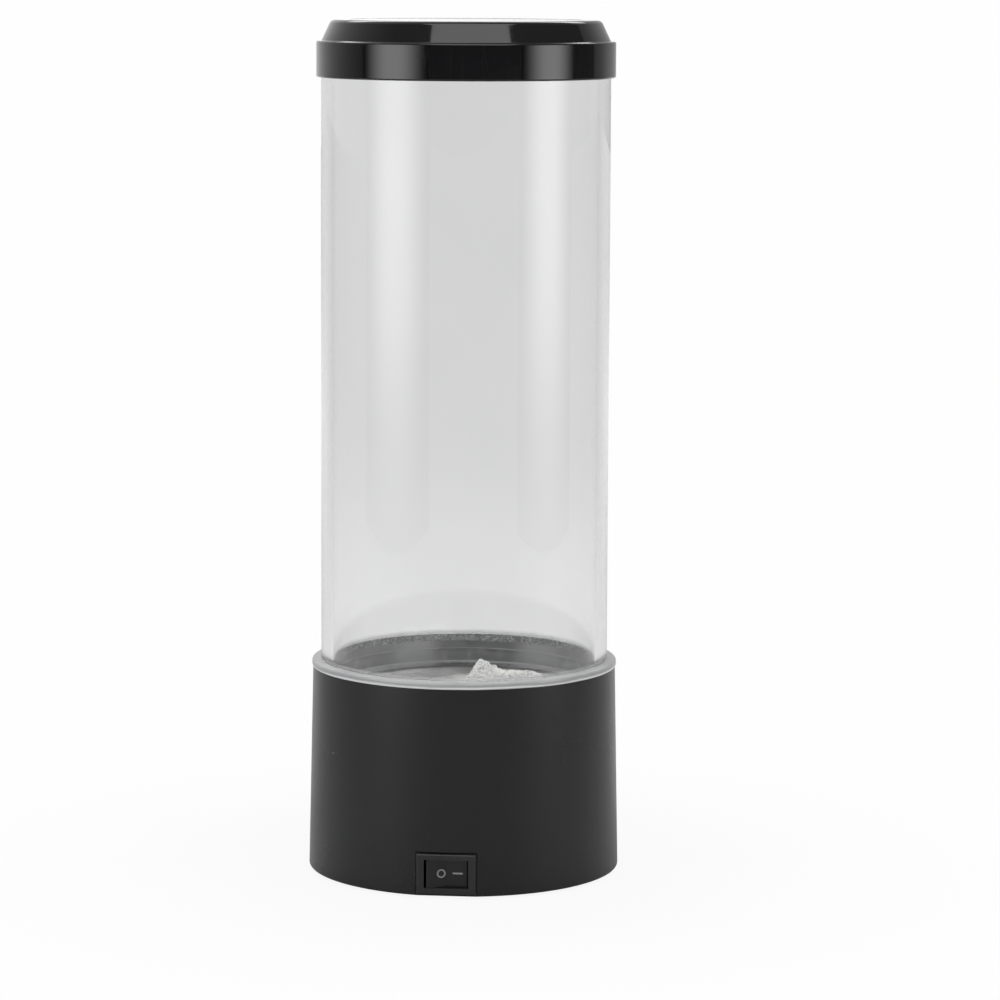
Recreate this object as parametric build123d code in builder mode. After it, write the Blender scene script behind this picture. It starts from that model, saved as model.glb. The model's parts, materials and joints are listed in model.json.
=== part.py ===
import os
from math import cos, pi, radians, sin, sqrt, tan

from build123d import *

# A night light in the shape of a small fish tank: a black base with a rocker switch and a
# power inlet, a clear moulded tank with a water impeller under its floor, and a black lid.
# Millimetres. Z is up, the origin is on the table under the middle of the base, and the
# switch faces -Y.

# Whole lamp
overall_height = 218.0
overrun = 1.0  # how far a cut runs past the faces it goes through

# Clearances
seat_gap = 0.15  # glued or pushed-in pieces, on the radius
slip_gap = 0.3  # pieces that lift in and out, on the radius
shaft_gap = 0.05  # a shaft in its bush, on the radius
press_gap = 0.02  # a pin or magnet pressed into its hole, on the radius
lift_gap = 0.2  # two pieces that lie close but don't carry each other

# Base shell
rim_wall = 1.45  # outside the silicone bead
base_flare = 1.1  # the base's lower radius over its upper one
base_rim_z = 53.0
foot_proud = 0.6
shell_wall = 2.2
deck_thickness = 2.0
base_top_edge = 0.2
base_bottom_edge = 0.8

# Tank
tank_outer_radius = 36.8
tank_wall = 3.0
tank_floor = 3.0
floor_depth = 6.2  # from the base's rim down to the tank's floor
tank_corner = 3.0
tank_lip = 0.5
well_radius = 13.6
well_wall = 1.5
well_depth = 9.4
well_floor = 1.4
seal_height = 1.8
seal_width = 0.5
bead_proud = 0.25  # of the bead past the base's rim
bead_side = 1.7  # of the bead's outer face, above the rim
bead_rise = 1.95  # of the bead up the tank's wall, above the rim
bead_edge = 0.6

# Lid
lid_band_wall = 1.05
lid_band_height = 9.2
lid_cone_height = 5.3
lid_ledge = 1.3
lid_cone_inset = 2.5
lid_step_thickness = 1.8
lid_top_thickness = 2.0
lid_dish_depth = 0.8
lid_dish_margin = 4.6
lid_skirt_depth = 5.9
lid_skirt_wall = 2.2
lid_edge = 0.5
seal_ring_section = 1.6
seal_ring_squeeze = 0.1

# Impeller, its guard and its spindle
spindle_radius = 1.0
spindle_seat = 0.9
guard_lap = 2.7  # past the well's wall, all round
guard_thickness = 1.6
guard_boss_radius = 2.6
guard_boss_height = 0.6
guard_pin_seat = 1.2
guard_slot_count = 8
guard_slot_width = 1.8
guard_slot_length = 6.5
guard_slot_ring_radius = 9.6
impeller_gap = 1.2  # to the well's wall
impeller_disc_thickness = 2.8
impeller_hub_radius = 3.2
vane_count = 6
vane_thickness = 1.2
magnet_radius = 2.5
magnet_length = 1.8
magnet_ring_radius = 7.6
magnet_count = 4

# Motor and its bracket
magnet_gap = 0.6
drive_disc_radius = 11.0
drive_disc_thickness = 2.8
bracket_thickness = 2.0
bracket_lap = 1.8  # past the motor, all round
bracket_arm_width = 8.0
motor_radius = 12.2
motor_length = 12.3
can_wall = 0.8
end_cap_thickness = 1.8
bush_radius = 2.4
bush_length = 2.2
bush_housing_wall = 0.7
motor_nose = 1.2
shaft_radius = 1.0
arc_magnet_thickness = 2.0
arc_magnet_gap = 0.85
arc_magnet_span = 140.0
armature_gap = 0.6
armature_length = 6.5
armature_slot = 1.6
armature_core_radius = 3.6
commutator_radius = 2.3
commutator_length = 1.2
motor_tab_width = 1.6
motor_tab_thickness = 0.4
motor_tab_length = 2.6
motor_tab_ring_radius = 6.0
motor_screw_ring_radius = 8.2

# Light board
board_standoff = 2.2
board_thickness = 1.2
board_inner_radius = 17.0
light_inset = 6.5  # from the board's inner edge to the middle of its lights
light_count = 6
light_side = 5.0
light_height = 1.6
light_window_radius = 3.2
resistor_length = 3.2
resistor_width = 1.6
resistor_height = 0.6
post_radius = 2.5
boss_radius = 3.0

# Bottom cover, its screws and feet
cover_thickness = 1.5
pillar_inset = 4.4  # from the wall's inside to the pillar's middle
pillar_radius = 3.0
pillar_rib = 1.6
cover_well_radius = 4.0
cover_well_height = 4.6
foot_radius = 4.5
foot_thickness = 1.3
foot_inset = 4.0  # from the cover's edge to the foot's

# Screws: thread radius and length under the head; the head is in shares of the thread
cover_screw_radius = 1.3
cover_screw_length = 8.0
bracket_screw_radius = 1.2
bracket_screw_length = 8.0
board_screw_radius = 0.9
board_screw_length = 3.0
motor_screw_radius = 0.95
motor_screw_length = 2.6
head_radius_share = 1.9
head_height_share = 1.25
cross_width_share = 0.28  # of the head's radius
cross_length_share = 1.2
cross_depth_share = 0.55  # of the head's height

# Rocker switch
panel_depth = 1.4  # how far the two flats lie inside the base's lower radius
panel_thickness = 2.0
pocket_margin = 0.4
bezel_width = 15.0
bezel_height = 10.2
bezel_thickness = 1.3
bezel_edge = 0.5
bezel_bottom_z = 1.25
switch_body_width = 13.0
switch_body_height = 8.2
switch_body_depth = 12.0
switch_body_wall = 0.5
switch_back_wall = 1.0
window_lip = 0.4  # of the bezel, over each side of the body's hollow
clip_height = 0.45
clip_width = 3.0
clip_length = 2.4
rocker_gap = 0.1  # round the rocker, inside its window
rocker_edge = 0.5
rocker_pivot_depth = 1.1  # behind the panel's face
rocker_valley = 0.8  # from the pivot out to the middle of the rocker's face
rocker_skirt = 1.5
rocker_tilt = 10.0  # each way from the middle
trunnion_radius = 0.7
trunnion_reach = 0.4
stem_width = 3.2
stem_length = 5.0
plunger_radius = 0.9
plunger_reach = 6.6
spring_wall = 0.25
spring_length = 2.6
mark_depth = 0.12
mark_ring_radius = 1.1
mark_stroke = 0.34
mark_bar_length = 2.45
mark_bar_stroke = 0.42
mark_ring_x = -1.5
mark_bar_x = 2.6
blade_tilt = 7.2
blade_thickness = 0.4
blade_half_length = 4.6
blade_width = 3.0
blade_knuckle_radius = 0.8
terminal_width = 2.8
terminal_thickness = 0.6
terminal_reach = 6.0
terminal_x = -4.0

# Power inlet
jack_z = 10.0
jack_flange_radius = 5.2
jack_flange_thickness = 1.2
jack_barrel_radius = 4.0
jack_bore_radius = 2.8
jack_bore_depth = 9.7
jack_back_wall = 2.5
jack_pin_radius = 1.05
jack_pin_inset = 2.5
jack_nut_across = 10.0
jack_nut_thickness = 2.0
jack_tab_width = 1.6
jack_tab_thickness = 0.5
jack_tab_length = 4.0
jack_tab_x = -2.7

# Wires inside the base
wire_radius = 0.7
wire_lead = 8.0  # straight out of a tab
wire_side_step = 6.0
wire_up_x = 24.0
wire_up_y = 6.0
wire_up_rise = 3.0
wire_floor_gap = 4.0
wire_bend_share = 0.45  # of the shorter run beside a bend

# White gravel on the tank's floor
gravel_height = 6.2
gravel_x = 3.5
gravel_y = 6.0
gravel_length = 9.6
gravel_width = 11.0
gravel_tip = 0.8
tail_height = 1.8
tail_x = 11.5
tail_length = 17.0
tail_width = 8.0
tail_top_share = 0.72

# Heights, worked out from the rim down
shell_bottom_z = foot_proud
floor_z = base_rim_z - floor_depth
deck_top_z = floor_z - tank_floor
deck_bottom_z = deck_top_z - deck_thickness
well_z = floor_z - well_depth
well_bottom_z = well_z - well_floor
drive_top_z = well_bottom_z - magnet_gap
drive_bottom_z = drive_top_z - drive_disc_thickness
motor_screw_head = motor_screw_radius * head_height_share
bracket_top_z = drive_bottom_z - motor_screw_head - lift_gap
bracket_bottom_z = bracket_top_z - bracket_thickness
motor_top_z = bracket_bottom_z
motor_bottom_z = motor_top_z - motor_length
board_top_z = deck_bottom_z - board_standoff
board_bottom_z = board_top_z - board_thickness
cover_top_z = shell_bottom_z + cover_thickness
cover_well_z = shell_bottom_z + cover_well_height
guard_bottom_z = floor_z - guard_thickness
impeller_z = well_z + 2 * lift_gap
impeller_top_z = guard_bottom_z - guard_boss_height - 2 * lift_gap

# Heights, worked out from the top down
band_top_z = overall_height - lid_cone_height
band_bottom_z = band_top_z - lid_band_height
tank_top_z = band_top_z - lid_step_thickness
skirt_bottom_z = tank_top_z - lid_skirt_depth
lid_ceiling_z = overall_height - lid_dish_depth - lid_top_thickness

# Radii that follow from others
tank_inner_radius = tank_outer_radius - tank_wall
recess_radius = tank_outer_radius + seat_gap
seal_radius = recess_radius + seal_width
base_top_radius = seal_radius + rim_wall
base_bottom_radius = base_top_radius + base_flare
bead_radius = base_top_radius + bead_proud
lid_band_radius = recess_radius + lid_band_wall
lid_cone_radius = lid_band_radius - lid_ledge
lid_top_radius = lid_cone_radius - lid_cone_inset
well_outer_radius = well_radius + well_wall
deck_hole_radius = well_outer_radius + slip_gap
guard_radius = well_radius + guard_lap
impeller_disc_radius = well_radius - impeller_gap
skirt_radius = tank_inner_radius - slip_gap
skirt_inner_radius = skirt_radius - lid_skirt_wall
cover_radius = base_bottom_radius - shell_wall - slip_gap
pillar_ring_radius = base_bottom_radius - shell_wall - pillar_inset
foot_ring_radius = cover_radius - foot_radius - foot_inset
board_ring_radius = board_inner_radius + light_inset  # of lights, posts and bosses
board_outer_radius = board_ring_radius + light_inset
bracket_disc_radius = motor_radius + bracket_lap
can_inner_radius = motor_radius - can_wall
nose_radius = bush_radius + bush_housing_wall
arc_magnet_inner = can_inner_radius - press_gap - arc_magnet_thickness
armature_radius = arc_magnet_inner - armature_gap

# Angles of what stands round the axis; lights at 0, 60, 120 and so on
light_step = 360 / light_count
boss_angle = light_step / 2
post_angle = light_step * 3 / 2
pillar_angle = 45
pillar_count = 4
fixing_count = 3

# Switch and inlet places
panel_y = base_bottom_radius - panel_depth
pad_y = panel_y - panel_thickness
switch_z = bezel_bottom_z + bezel_height / 2
pivot_y = -panel_y + rocker_pivot_depth
cavity_width = switch_body_width - 2 * switch_body_wall
window_width = cavity_width - 2 * window_lip
window_height = switch_body_height - 2 * switch_body_wall
rocker_radius = window_width / 2 - rocker_gap
rocker_height = window_height - 2 * rocker_gap
switch_back_y = -panel_y + switch_body_depth
blade_y = pivot_y + plunger_reach + lift_gap / 2
terminal_tip_y = switch_back_y + terminal_reach
jack_tip_y = panel_y + jack_flange_thickness - jack_bore_depth - jack_back_wall
jack_tab_y = jack_tip_y - jack_tab_length


def shell_radius(z):
    """Outer radius of the tapered base at height z."""
    share = (z - shell_bottom_z) / (base_rim_z - shell_bottom_z)
    return base_bottom_radius + (base_top_radius - base_bottom_radius) * share


def save(builder, name):
    """Labels a finished piece and writes its file."""
    builder.part.label = name
    export_step(builder.part, f"parts/{name}.step")


def add_screws(ring, angle, count, seat_z, thread_radius, length, pointing=1):
    """Pan-head screws on a circle, heads at seat_z; pointing is 1 for a tip that points up."""
    head_radius = thread_radius * head_radius_share
    head_height = thread_radius * head_height_share
    tip_side = (Align.CENTER, Align.CENTER, Align.MIN if pointing > 0 else Align.MAX)
    head_side = (Align.CENTER, Align.CENTER, Align.MAX if pointing > 0 else Align.MIN)
    cross_depth = head_height * cross_depth_share
    with Locations((0, 0, seat_z)):
        with PolarLocations(ring, count, start_angle=angle):
            Cylinder(thread_radius, length, align=tip_side)
            Cylinder(head_radius, head_height, align=head_side)
    with Locations((0, 0, seat_z - pointing * (head_height - cross_depth))):
        with PolarLocations(ring, count, start_angle=angle):
            long_side = head_radius * cross_length_share
            short_side = head_radius * cross_width_share
            Box(long_side, short_side, cross_depth, align=head_side, mode=Mode.SUBTRACT)
            Box(short_side, long_side, cross_depth, align=head_side, mode=Mode.SUBTRACT)


def wire(points):
    """A round wire along straight runs, joined by arcs as large as the runs allow."""
    runs = [Vector(*end) - Vector(*start) for start, end in zip(points, points[1:])]
    bends = []
    for before, after in zip(runs, runs[1:]):
        half_turn = radians(before.get_angle(after) / 2)
        bends.append(wire_bend_share * min(before.length, after.length) / tan(half_turn))
    with BuildPart() as tube:
        with BuildLine():
            path = FilletPolyline(*points, radius=bends)
        with BuildSketch(Plane(path @ 0, z_dir=path % 0)):
            Circle(wire_radius)
        sweep(path=path)
    fill = tube.part.volume / (pi * wire_radius**2 * path.length)
    print("wire of", round(path.length, 1), "mm, volume share", round(fill, 4), end=", ")
    print("bend radii", *(round(bend, 1) for bend in bends))
    return tube


os.makedirs("parts", exist_ok=True)

# Base shell: a tapered skirt, the deck that carries the tank, and what is moulded under it
with BuildPart() as base_shell:
    with BuildSketch(Plane.XZ) as shell_profile:
        with BuildLine():
            Polyline(
                (base_bottom_radius, shell_bottom_z),
                (base_top_radius, base_rim_z),
                (seal_radius, base_rim_z),
                (seal_radius, base_rim_z - seal_height),
                (recess_radius, base_rim_z - seal_height),
                (recess_radius, deck_top_z),
                (deck_hole_radius, deck_top_z),
                (deck_hole_radius, deck_bottom_z),
                (shell_radius(deck_bottom_z) - shell_wall, deck_bottom_z),
                (base_bottom_radius - shell_wall, shell_bottom_z),
                close=True,
            )
        make_face()
        rim_corner = shell_profile.vertices().group_by(Axis.Y)[-1].sort_by(Axis.X)[-1]
        fillet(rim_corner, base_top_edge)
        foot_corner = shell_profile.vertices().group_by(Axis.Y)[0].sort_by(Axis.X)[-1]
        fillet(foot_corner, base_bottom_edge)
    revolve(axis=Axis.Z)
    # pillars for the bottom cover, each with a rib to the wall
    with BuildSketch(Plane.XY.offset(cover_well_z)):
        with PolarLocations(pillar_ring_radius, pillar_count, start_angle=pillar_angle):
            Circle(pillar_radius)
            rib_length = base_top_radius - shell_wall / 2 - pillar_ring_radius
            Rectangle(rib_length, pillar_rib, align=(Align.MIN, Align.CENTER))
    extrude(amount=deck_bottom_z - cover_well_z)
    # short posts for the light board, long bosses for the motor bracket
    with BuildSketch(Plane.XY.offset(board_top_z)):
        with PolarLocations(board_ring_radius, fixing_count, start_angle=post_angle):
            Circle(post_radius)
    extrude(amount=deck_bottom_z - board_top_z)
    with BuildSketch(Plane.XY.offset(bracket_top_z)):
        with PolarLocations(board_ring_radius, fixing_count, start_angle=boss_angle):
            Circle(boss_radius)
    extrude(amount=deck_bottom_z - bracket_top_z)
    # flat pads behind the switch at the front and behind the inlet at the back
    pad_bottom_z = cover_top_z + lift_gap
    switch_pad_top = bezel_bottom_z + bezel_height + panel_thickness
    with BuildSketch(Plane.XY.offset(pad_bottom_z)):
        with Locations((0, -panel_y)):
            pad_width = bezel_width + 2 * panel_thickness
            Rectangle(pad_width, panel_thickness, align=(Align.CENTER, Align.MIN))
    extrude(amount=switch_pad_top - pad_bottom_z)
    with BuildSketch(Plane.XY.offset(pad_bottom_z)):
        with Locations((0, panel_y)):
            jack_pad_width = jack_nut_across + 2 * panel_thickness
            Rectangle(jack_pad_width, panel_thickness, align=(Align.CENTER, Align.MAX))
    extrude(amount=jack_z + jack_nut_across / 2 + panel_thickness - pad_bottom_z)
    # windows over the lights
    with BuildSketch(Plane.XY.offset(deck_top_z)):
        with PolarLocations(board_ring_radius, light_count):
            Circle(light_window_radius)
    extrude(amount=-deck_thickness, mode=Mode.SUBTRACT)
    # screw holes in the pillars, posts and bosses
    with BuildSketch(Plane.XY.offset(cover_well_z)):
        with PolarLocations(pillar_ring_radius, pillar_count, start_angle=pillar_angle):
            Circle(cover_screw_radius + press_gap)
    extrude(amount=cover_screw_length, mode=Mode.SUBTRACT)
    with BuildSketch(Plane.XY.offset(board_top_z)):
        with PolarLocations(board_ring_radius, fixing_count, start_angle=post_angle):
            Circle(board_screw_radius + press_gap)
    extrude(amount=board_standoff, mode=Mode.SUBTRACT)
    with BuildSketch(Plane.XY.offset(bracket_top_z)):
        with PolarLocations(board_ring_radius, fixing_count, start_angle=boss_angle):
            Circle(bracket_screw_radius + press_gap)
    extrude(amount=bracket_screw_length, mode=Mode.SUBTRACT)
    # pocket and opening for the switch
    with BuildSketch(Plane.XZ.offset(panel_y)):
        with Locations((0, shell_bottom_z - overrun)):
            pocket_height = bezel_bottom_z + bezel_height + pocket_margin - shell_bottom_z
            Rectangle(
                bezel_width + 2 * pocket_margin,
                pocket_height + overrun,
                align=(Align.CENTER, Align.MIN),
            )
    extrude(amount=panel_depth + overrun, mode=Mode.SUBTRACT)
    with BuildSketch(Plane.XZ.offset(panel_y)):
        with Locations((0, switch_z)):
            Rectangle(switch_body_width + 2 * seat_gap, switch_body_height + seat_gap)
    extrude(amount=-panel_thickness - overrun, mode=Mode.SUBTRACT)
    # spot face and hole for the power inlet
    with BuildSketch(Plane.XZ.offset(-panel_y)):
        with Locations((0, jack_z)):
            Circle(jack_flange_radius + pocket_margin)
    extrude(amount=-panel_depth - overrun, mode=Mode.SUBTRACT)
    with BuildSketch(Plane.XZ.offset(-panel_y)):
        with Locations((0, jack_z)):
            Circle(jack_barrel_radius + seat_gap)
    extrude(amount=panel_thickness + overrun, mode=Mode.SUBTRACT)
save(base_shell, "base_shell")

# Bottom cover: a disc with a deep well for each screw and a shallow seat for each foot
with BuildPart() as bottom_cover:
    with BuildSketch(Plane.XY.offset(shell_bottom_z)):
        Circle(cover_radius)
    extrude(amount=cover_thickness)
    with BuildSketch(Plane.XY.offset(shell_bottom_z)):
        with PolarLocations(pillar_ring_radius, pillar_count, start_angle=pillar_angle):
            Circle(cover_well_radius)
    extrude(amount=cover_well_height)
    head_well = cover_well_height - cover_thickness
    with BuildSketch(Plane.XY.offset(shell_bottom_z)):
        with PolarLocations(pillar_ring_radius, pillar_count, start_angle=pillar_angle):
            Circle(cover_screw_radius * head_radius_share + slip_gap)
    extrude(amount=head_well, mode=Mode.SUBTRACT)
    with BuildSketch(Plane.XY.offset(shell_bottom_z)):
        with PolarLocations(pillar_ring_radius, pillar_count, start_angle=pillar_angle):
            Circle(cover_screw_radius + slip_gap)
    extrude(amount=cover_well_height, mode=Mode.SUBTRACT)
    with BuildSketch(Plane.XY.offset(shell_bottom_z)):
        with PolarLocations(foot_ring_radius, pillar_count):
            Circle(foot_radius + seat_gap)
    extrude(amount=foot_thickness - foot_proud, mode=Mode.SUBTRACT)
save(bottom_cover, "bottom_cover")

with BuildPart() as cover_screws:
    cover_seat_z = shell_bottom_z + head_well
    add_screws(
        pillar_ring_radius,
        pillar_angle,
        pillar_count,
        cover_seat_z,
        cover_screw_radius,
        cover_screw_length,
    )
save(cover_screws, "cover_screws")

with BuildPart() as rubber_feet:
    with BuildSketch():
        with PolarLocations(foot_ring_radius, pillar_count):
            Circle(foot_radius)
    extrude(amount=foot_thickness)
    foot_rims = rubber_feet.edges().group_by(Axis.Z)[0]
    chamfer(foot_rims, foot_proud / 2)
save(rubber_feet, "rubber_feet")

# Tank: one clear moulding with a rounded inner corner and a well for the impeller
with BuildPart() as tank:
    with BuildSketch(Plane.XZ) as tank_profile:
        with BuildLine():
            Polyline(
                (0, well_bottom_z),
                (well_outer_radius, well_bottom_z),
                (well_outer_radius, deck_top_z),
                (tank_outer_radius, deck_top_z),
                (tank_outer_radius, tank_top_z),
                (tank_inner_radius, tank_top_z),
                (tank_inner_radius, floor_z),
                (guard_radius + seat_gap, floor_z),
                (guard_radius + seat_gap, guard_bottom_z),
                (well_radius, guard_bottom_z),
                (well_radius, well_z),
                (0, well_z),
                close=True,
            )
        make_face()
        lip_corners = tank_profile.vertices().group_by(Axis.Y)[-1]
        fillet(lip_corners, tank_lip)
        inner_corner = tank_profile.vertices().filter_by_position(
            Axis.Y, floor_z - press_gap, floor_z + press_gap
        )
        fillet(inner_corner.sort_by(Axis.X)[-1], tank_corner)
    revolve(axis=Axis.Z)
    with BuildSketch(Plane.XY.offset(well_z)):
        Circle(spindle_radius + press_gap)
    extrude(amount=-spindle_seat, mode=Mode.SUBTRACT)
save(tank, "tank")

# Silicone bead: it fills the groove between the tank and the base, and covers the base's rim
with BuildPart() as tank_seal:
    with BuildSketch(Plane.XZ) as bead_profile:
        with BuildLine():
            Polyline(
                (tank_outer_radius, base_rim_z - seal_height),
                (seal_radius, base_rim_z - seal_height),
                (seal_radius, base_rim_z),
                (bead_radius, base_rim_z),
                (bead_radius, base_rim_z + bead_side),
                (tank_outer_radius, base_rim_z + bead_rise),
                close=True,
            )
        make_face()
        bead_corner = bead_profile.vertices().group_by(Axis.X)[-1].sort_by(Axis.Y)[-1]
        fillet(bead_corner, bead_edge)
    revolve(axis=Axis.Z)
save(tank_seal, "tank_seal")

# Guard: a slotted disc, flush with the tank's floor, that holds the spindle's top
with BuildPart() as impeller_guard:
    with BuildSketch(Plane.XY.offset(guard_bottom_z)):
        Circle(guard_radius)
    extrude(amount=guard_thickness)
    with BuildSketch(Plane.XY.offset(guard_bottom_z)):
        Circle(guard_boss_radius)
    extrude(amount=-guard_boss_height)
    with BuildSketch(Plane.XY.offset(guard_bottom_z)):
        with PolarLocations(guard_slot_ring_radius, guard_slot_count):
            SlotOverall(guard_slot_length, guard_slot_width)
    extrude(amount=guard_thickness, mode=Mode.SUBTRACT)
    with BuildSketch(Plane.XY.offset(guard_bottom_z - guard_boss_height)):
        Circle(spindle_radius + press_gap)
    extrude(amount=guard_pin_seat, mode=Mode.SUBTRACT)
save(impeller_guard, "impeller_guard")

with BuildPart() as impeller_spindle:
    spindle_bottom_z = well_z - spindle_seat
    spindle_top_z = guard_bottom_z - guard_boss_height + guard_pin_seat
    with BuildSketch(Plane.XY.offset(spindle_bottom_z)):
        Circle(spindle_radius)
    extrude(amount=spindle_top_z - spindle_bottom_z)
save(impeller_spindle, "impeller_spindle")

# Impeller: a disc that holds the magnets, with straight vanes and a hub above it
with BuildPart() as impeller:
    with BuildSketch(Plane.XY.offset(impeller_z)):
        Circle(impeller_disc_radius)
    extrude(amount=impeller_disc_thickness)
    with BuildSketch(Plane.XY.offset(impeller_z + impeller_disc_thickness)):
        Circle(impeller_hub_radius)
        with PolarLocations(0, vane_count):
            Rectangle(
                impeller_disc_radius - vane_thickness / 2,
                vane_thickness,
                align=(Align.MIN, Align.CENTER),
            )
    extrude(amount=impeller_top_z - impeller_z - impeller_disc_thickness)
    with BuildSketch(Plane.XY.offset(impeller_z)):
        with PolarLocations(magnet_ring_radius, magnet_count, start_angle=pillar_angle):
            Circle(magnet_radius + press_gap)
    extrude(amount=magnet_length, mode=Mode.SUBTRACT)
    with BuildSketch(Plane.XY.offset(impeller_z)):
        Circle(spindle_radius + shaft_gap)
    extrude(amount=impeller_top_z - impeller_z, mode=Mode.SUBTRACT)
save(impeller, "impeller")

with BuildPart() as impeller_magnets:
    with BuildSketch(Plane.XY.offset(impeller_z)):
        with PolarLocations(magnet_ring_radius, magnet_count, start_angle=pillar_angle):
            Circle(magnet_radius)
    extrude(amount=magnet_length)
save(impeller_magnets, "impeller_magnets")

# Gravel: a steep little heap that runs out to one side in a low tail
with BuildPart() as gravel:
    with BuildSketch(Plane.XY.offset(floor_z)):
        with Locations((gravel_x, gravel_y)):
            Ellipse(gravel_length / 2, gravel_width / 2)
    with BuildSketch(Plane.XY.offset(floor_z + gravel_height)):
        with Locations((gravel_x, gravel_y)):
            Circle(gravel_tip)
    loft()
    with BuildSketch(Plane.XY.offset(floor_z)):
        with Locations((tail_x, gravel_y)):
            Ellipse(tail_length / 2, tail_width / 2)
    with BuildSketch(Plane.XY.offset(floor_z + tail_height)):
        with Locations((tail_x, gravel_y)):
            Ellipse(
                tail_length / 2 * tail_top_share,
                tail_width / 2 * tail_top_share,
            )
    loft()
save(gravel, "gravel")

# Lid: a band over the tank, a skirt inside it, and a coned top with a shallow dish
with BuildPart() as lid_cap:
    dish_radius = lid_top_radius - lid_dish_margin
    groove_radius = tank_inner_radius - seal_ring_squeeze - seal_ring_section
    groove_top_z = tank_top_z - lid_skirt_depth / 2 + seal_ring_section / 2
    groove_bottom_z = groove_top_z - seal_ring_section
    with BuildSketch(Plane.XZ) as lid_profile:
        with BuildLine():
            Polyline(
                (lid_band_radius, band_bottom_z),
                (lid_band_radius, band_top_z),
                (lid_cone_radius, band_top_z),
                (lid_top_radius, overall_height),
                (dish_radius, overall_height),
                (dish_radius - lid_dish_depth, overall_height - lid_dish_depth),
                (0, overall_height - lid_dish_depth),
                (0, lid_ceiling_z),
                (skirt_inner_radius, lid_ceiling_z),
                (skirt_inner_radius, skirt_bottom_z),
                (skirt_radius, skirt_bottom_z),
                (skirt_radius, groove_bottom_z - press_gap),
                (groove_radius, groove_bottom_z - press_gap),
                (groove_radius, groove_top_z + press_gap),
                (skirt_radius, groove_top_z + press_gap),
                (skirt_radius, tank_top_z),
                (recess_radius, tank_top_z),
                (recess_radius, band_bottom_z),
                close=True,
            )
        make_face()
        top_corner = lid_profile.vertices().group_by(Axis.Y)[-1].sort_by(Axis.X)[-1]
        fillet(top_corner, 2 * lid_edge)
        band_corners = lid_profile.vertices().group_by(Axis.X)[-1]
        fillet(band_corners, lid_edge)
    revolve(axis=Axis.Z)
save(lid_cap, "lid_cap")

with BuildPart() as lid_seal_ring:
    ring_section_radius = seal_ring_section / 2
    with BuildSketch(Plane.XZ):
        with Locations((groove_radius + ring_section_radius, groove_top_z - ring_section_radius)):
            Circle(ring_section_radius - press_gap)
    revolve(axis=Axis.Z)
save(lid_seal_ring, "lid_seal_ring")

# Light board: a ring with clearance for the long bosses and, in a slim base, for the pillars
with BuildPart() as light_board:
    with BuildSketch(Plane.XY.offset(board_bottom_z)):
        Circle(board_outer_radius)
        Circle(board_inner_radius, mode=Mode.SUBTRACT)
        with PolarLocations(board_ring_radius, fixing_count, start_angle=boss_angle):
            Circle(boss_radius + slip_gap, mode=Mode.SUBTRACT)
        with PolarLocations(board_ring_radius, fixing_count, start_angle=post_angle):
            Circle(board_screw_radius + slip_gap, mode=Mode.SUBTRACT)
        with PolarLocations(pillar_ring_radius, pillar_count, start_angle=pillar_angle):
            notch_radius = pillar_radius + lift_gap
            Circle(notch_radius, mode=Mode.SUBTRACT)
            Rectangle(
                board_outer_radius,
                2 * notch_radius,
                align=(Align.MIN, Align.CENTER),
                mode=Mode.SUBTRACT,
            )
    extrude(amount=board_thickness)
save(light_board, "light_board")

with BuildPart() as board_lights:
    with BuildSketch(Plane.XY.offset(board_top_z)):
        with PolarLocations(board_ring_radius, light_count):
            Rectangle(light_side, light_side)
    extrude(amount=light_height)
    lens_depth = light_height / 4
    with BuildSketch(Plane.XY.offset(board_top_z + light_height)):
        with PolarLocations(board_ring_radius, light_count):
            Circle(light_side / 3)
    extrude(amount=-lens_depth, mode=Mode.SUBTRACT)
save(board_lights, "board_lights")

with BuildPart() as board_resistors:
    with BuildSketch(Plane.XY.offset(board_bottom_z)):
        resistor_ring = board_inner_radius + resistor_length
        with PolarLocations(resistor_ring, light_count, start_angle=light_step / 3):
            Rectangle(resistor_width, resistor_length)
    extrude(amount=-resistor_height)
save(board_resistors, "board_resistors")

with BuildPart() as board_screws:
    add_screws(
        board_ring_radius,
        post_angle,
        fixing_count,
        board_bottom_z,
        board_screw_radius,
        board_screw_length,
    )
save(board_screws, "board_screws")

# Motor bracket: a disc on three arms, screwed to the long bosses
with BuildPart() as motor_bracket:
    with BuildSketch(Plane.XY.offset(bracket_bottom_z)):
        Circle(bracket_disc_radius)
        with PolarLocations(0, fixing_count, start_angle=boss_angle):
            Rectangle(board_ring_radius, bracket_arm_width, align=(Align.MIN, Align.CENTER))
        with PolarLocations(board_ring_radius, fixing_count, start_angle=boss_angle):
            Circle(bracket_arm_width / 2)
            Circle(bracket_screw_radius + slip_gap, mode=Mode.SUBTRACT)
        with PolarLocations(motor_screw_ring_radius, 2):
            Circle(motor_screw_radius + seat_gap, mode=Mode.SUBTRACT)
        Circle(nose_radius + seat_gap, mode=Mode.SUBTRACT)
    extrude(amount=bracket_thickness)
save(motor_bracket, "motor_bracket")

with BuildPart() as bracket_screws:
    add_screws(
        board_ring_radius,
        boss_angle,
        fixing_count,
        bracket_bottom_z,
        bracket_screw_radius,
        bracket_screw_length,
    )
save(bracket_screws, "bracket_screws")

with BuildPart() as motor_screws:
    add_screws(
        motor_screw_ring_radius,
        0,
        2,
        bracket_top_z,
        motor_screw_radius,
        motor_screw_length,
        pointing=-1,
    )
save(motor_screws, "motor_screws")

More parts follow.
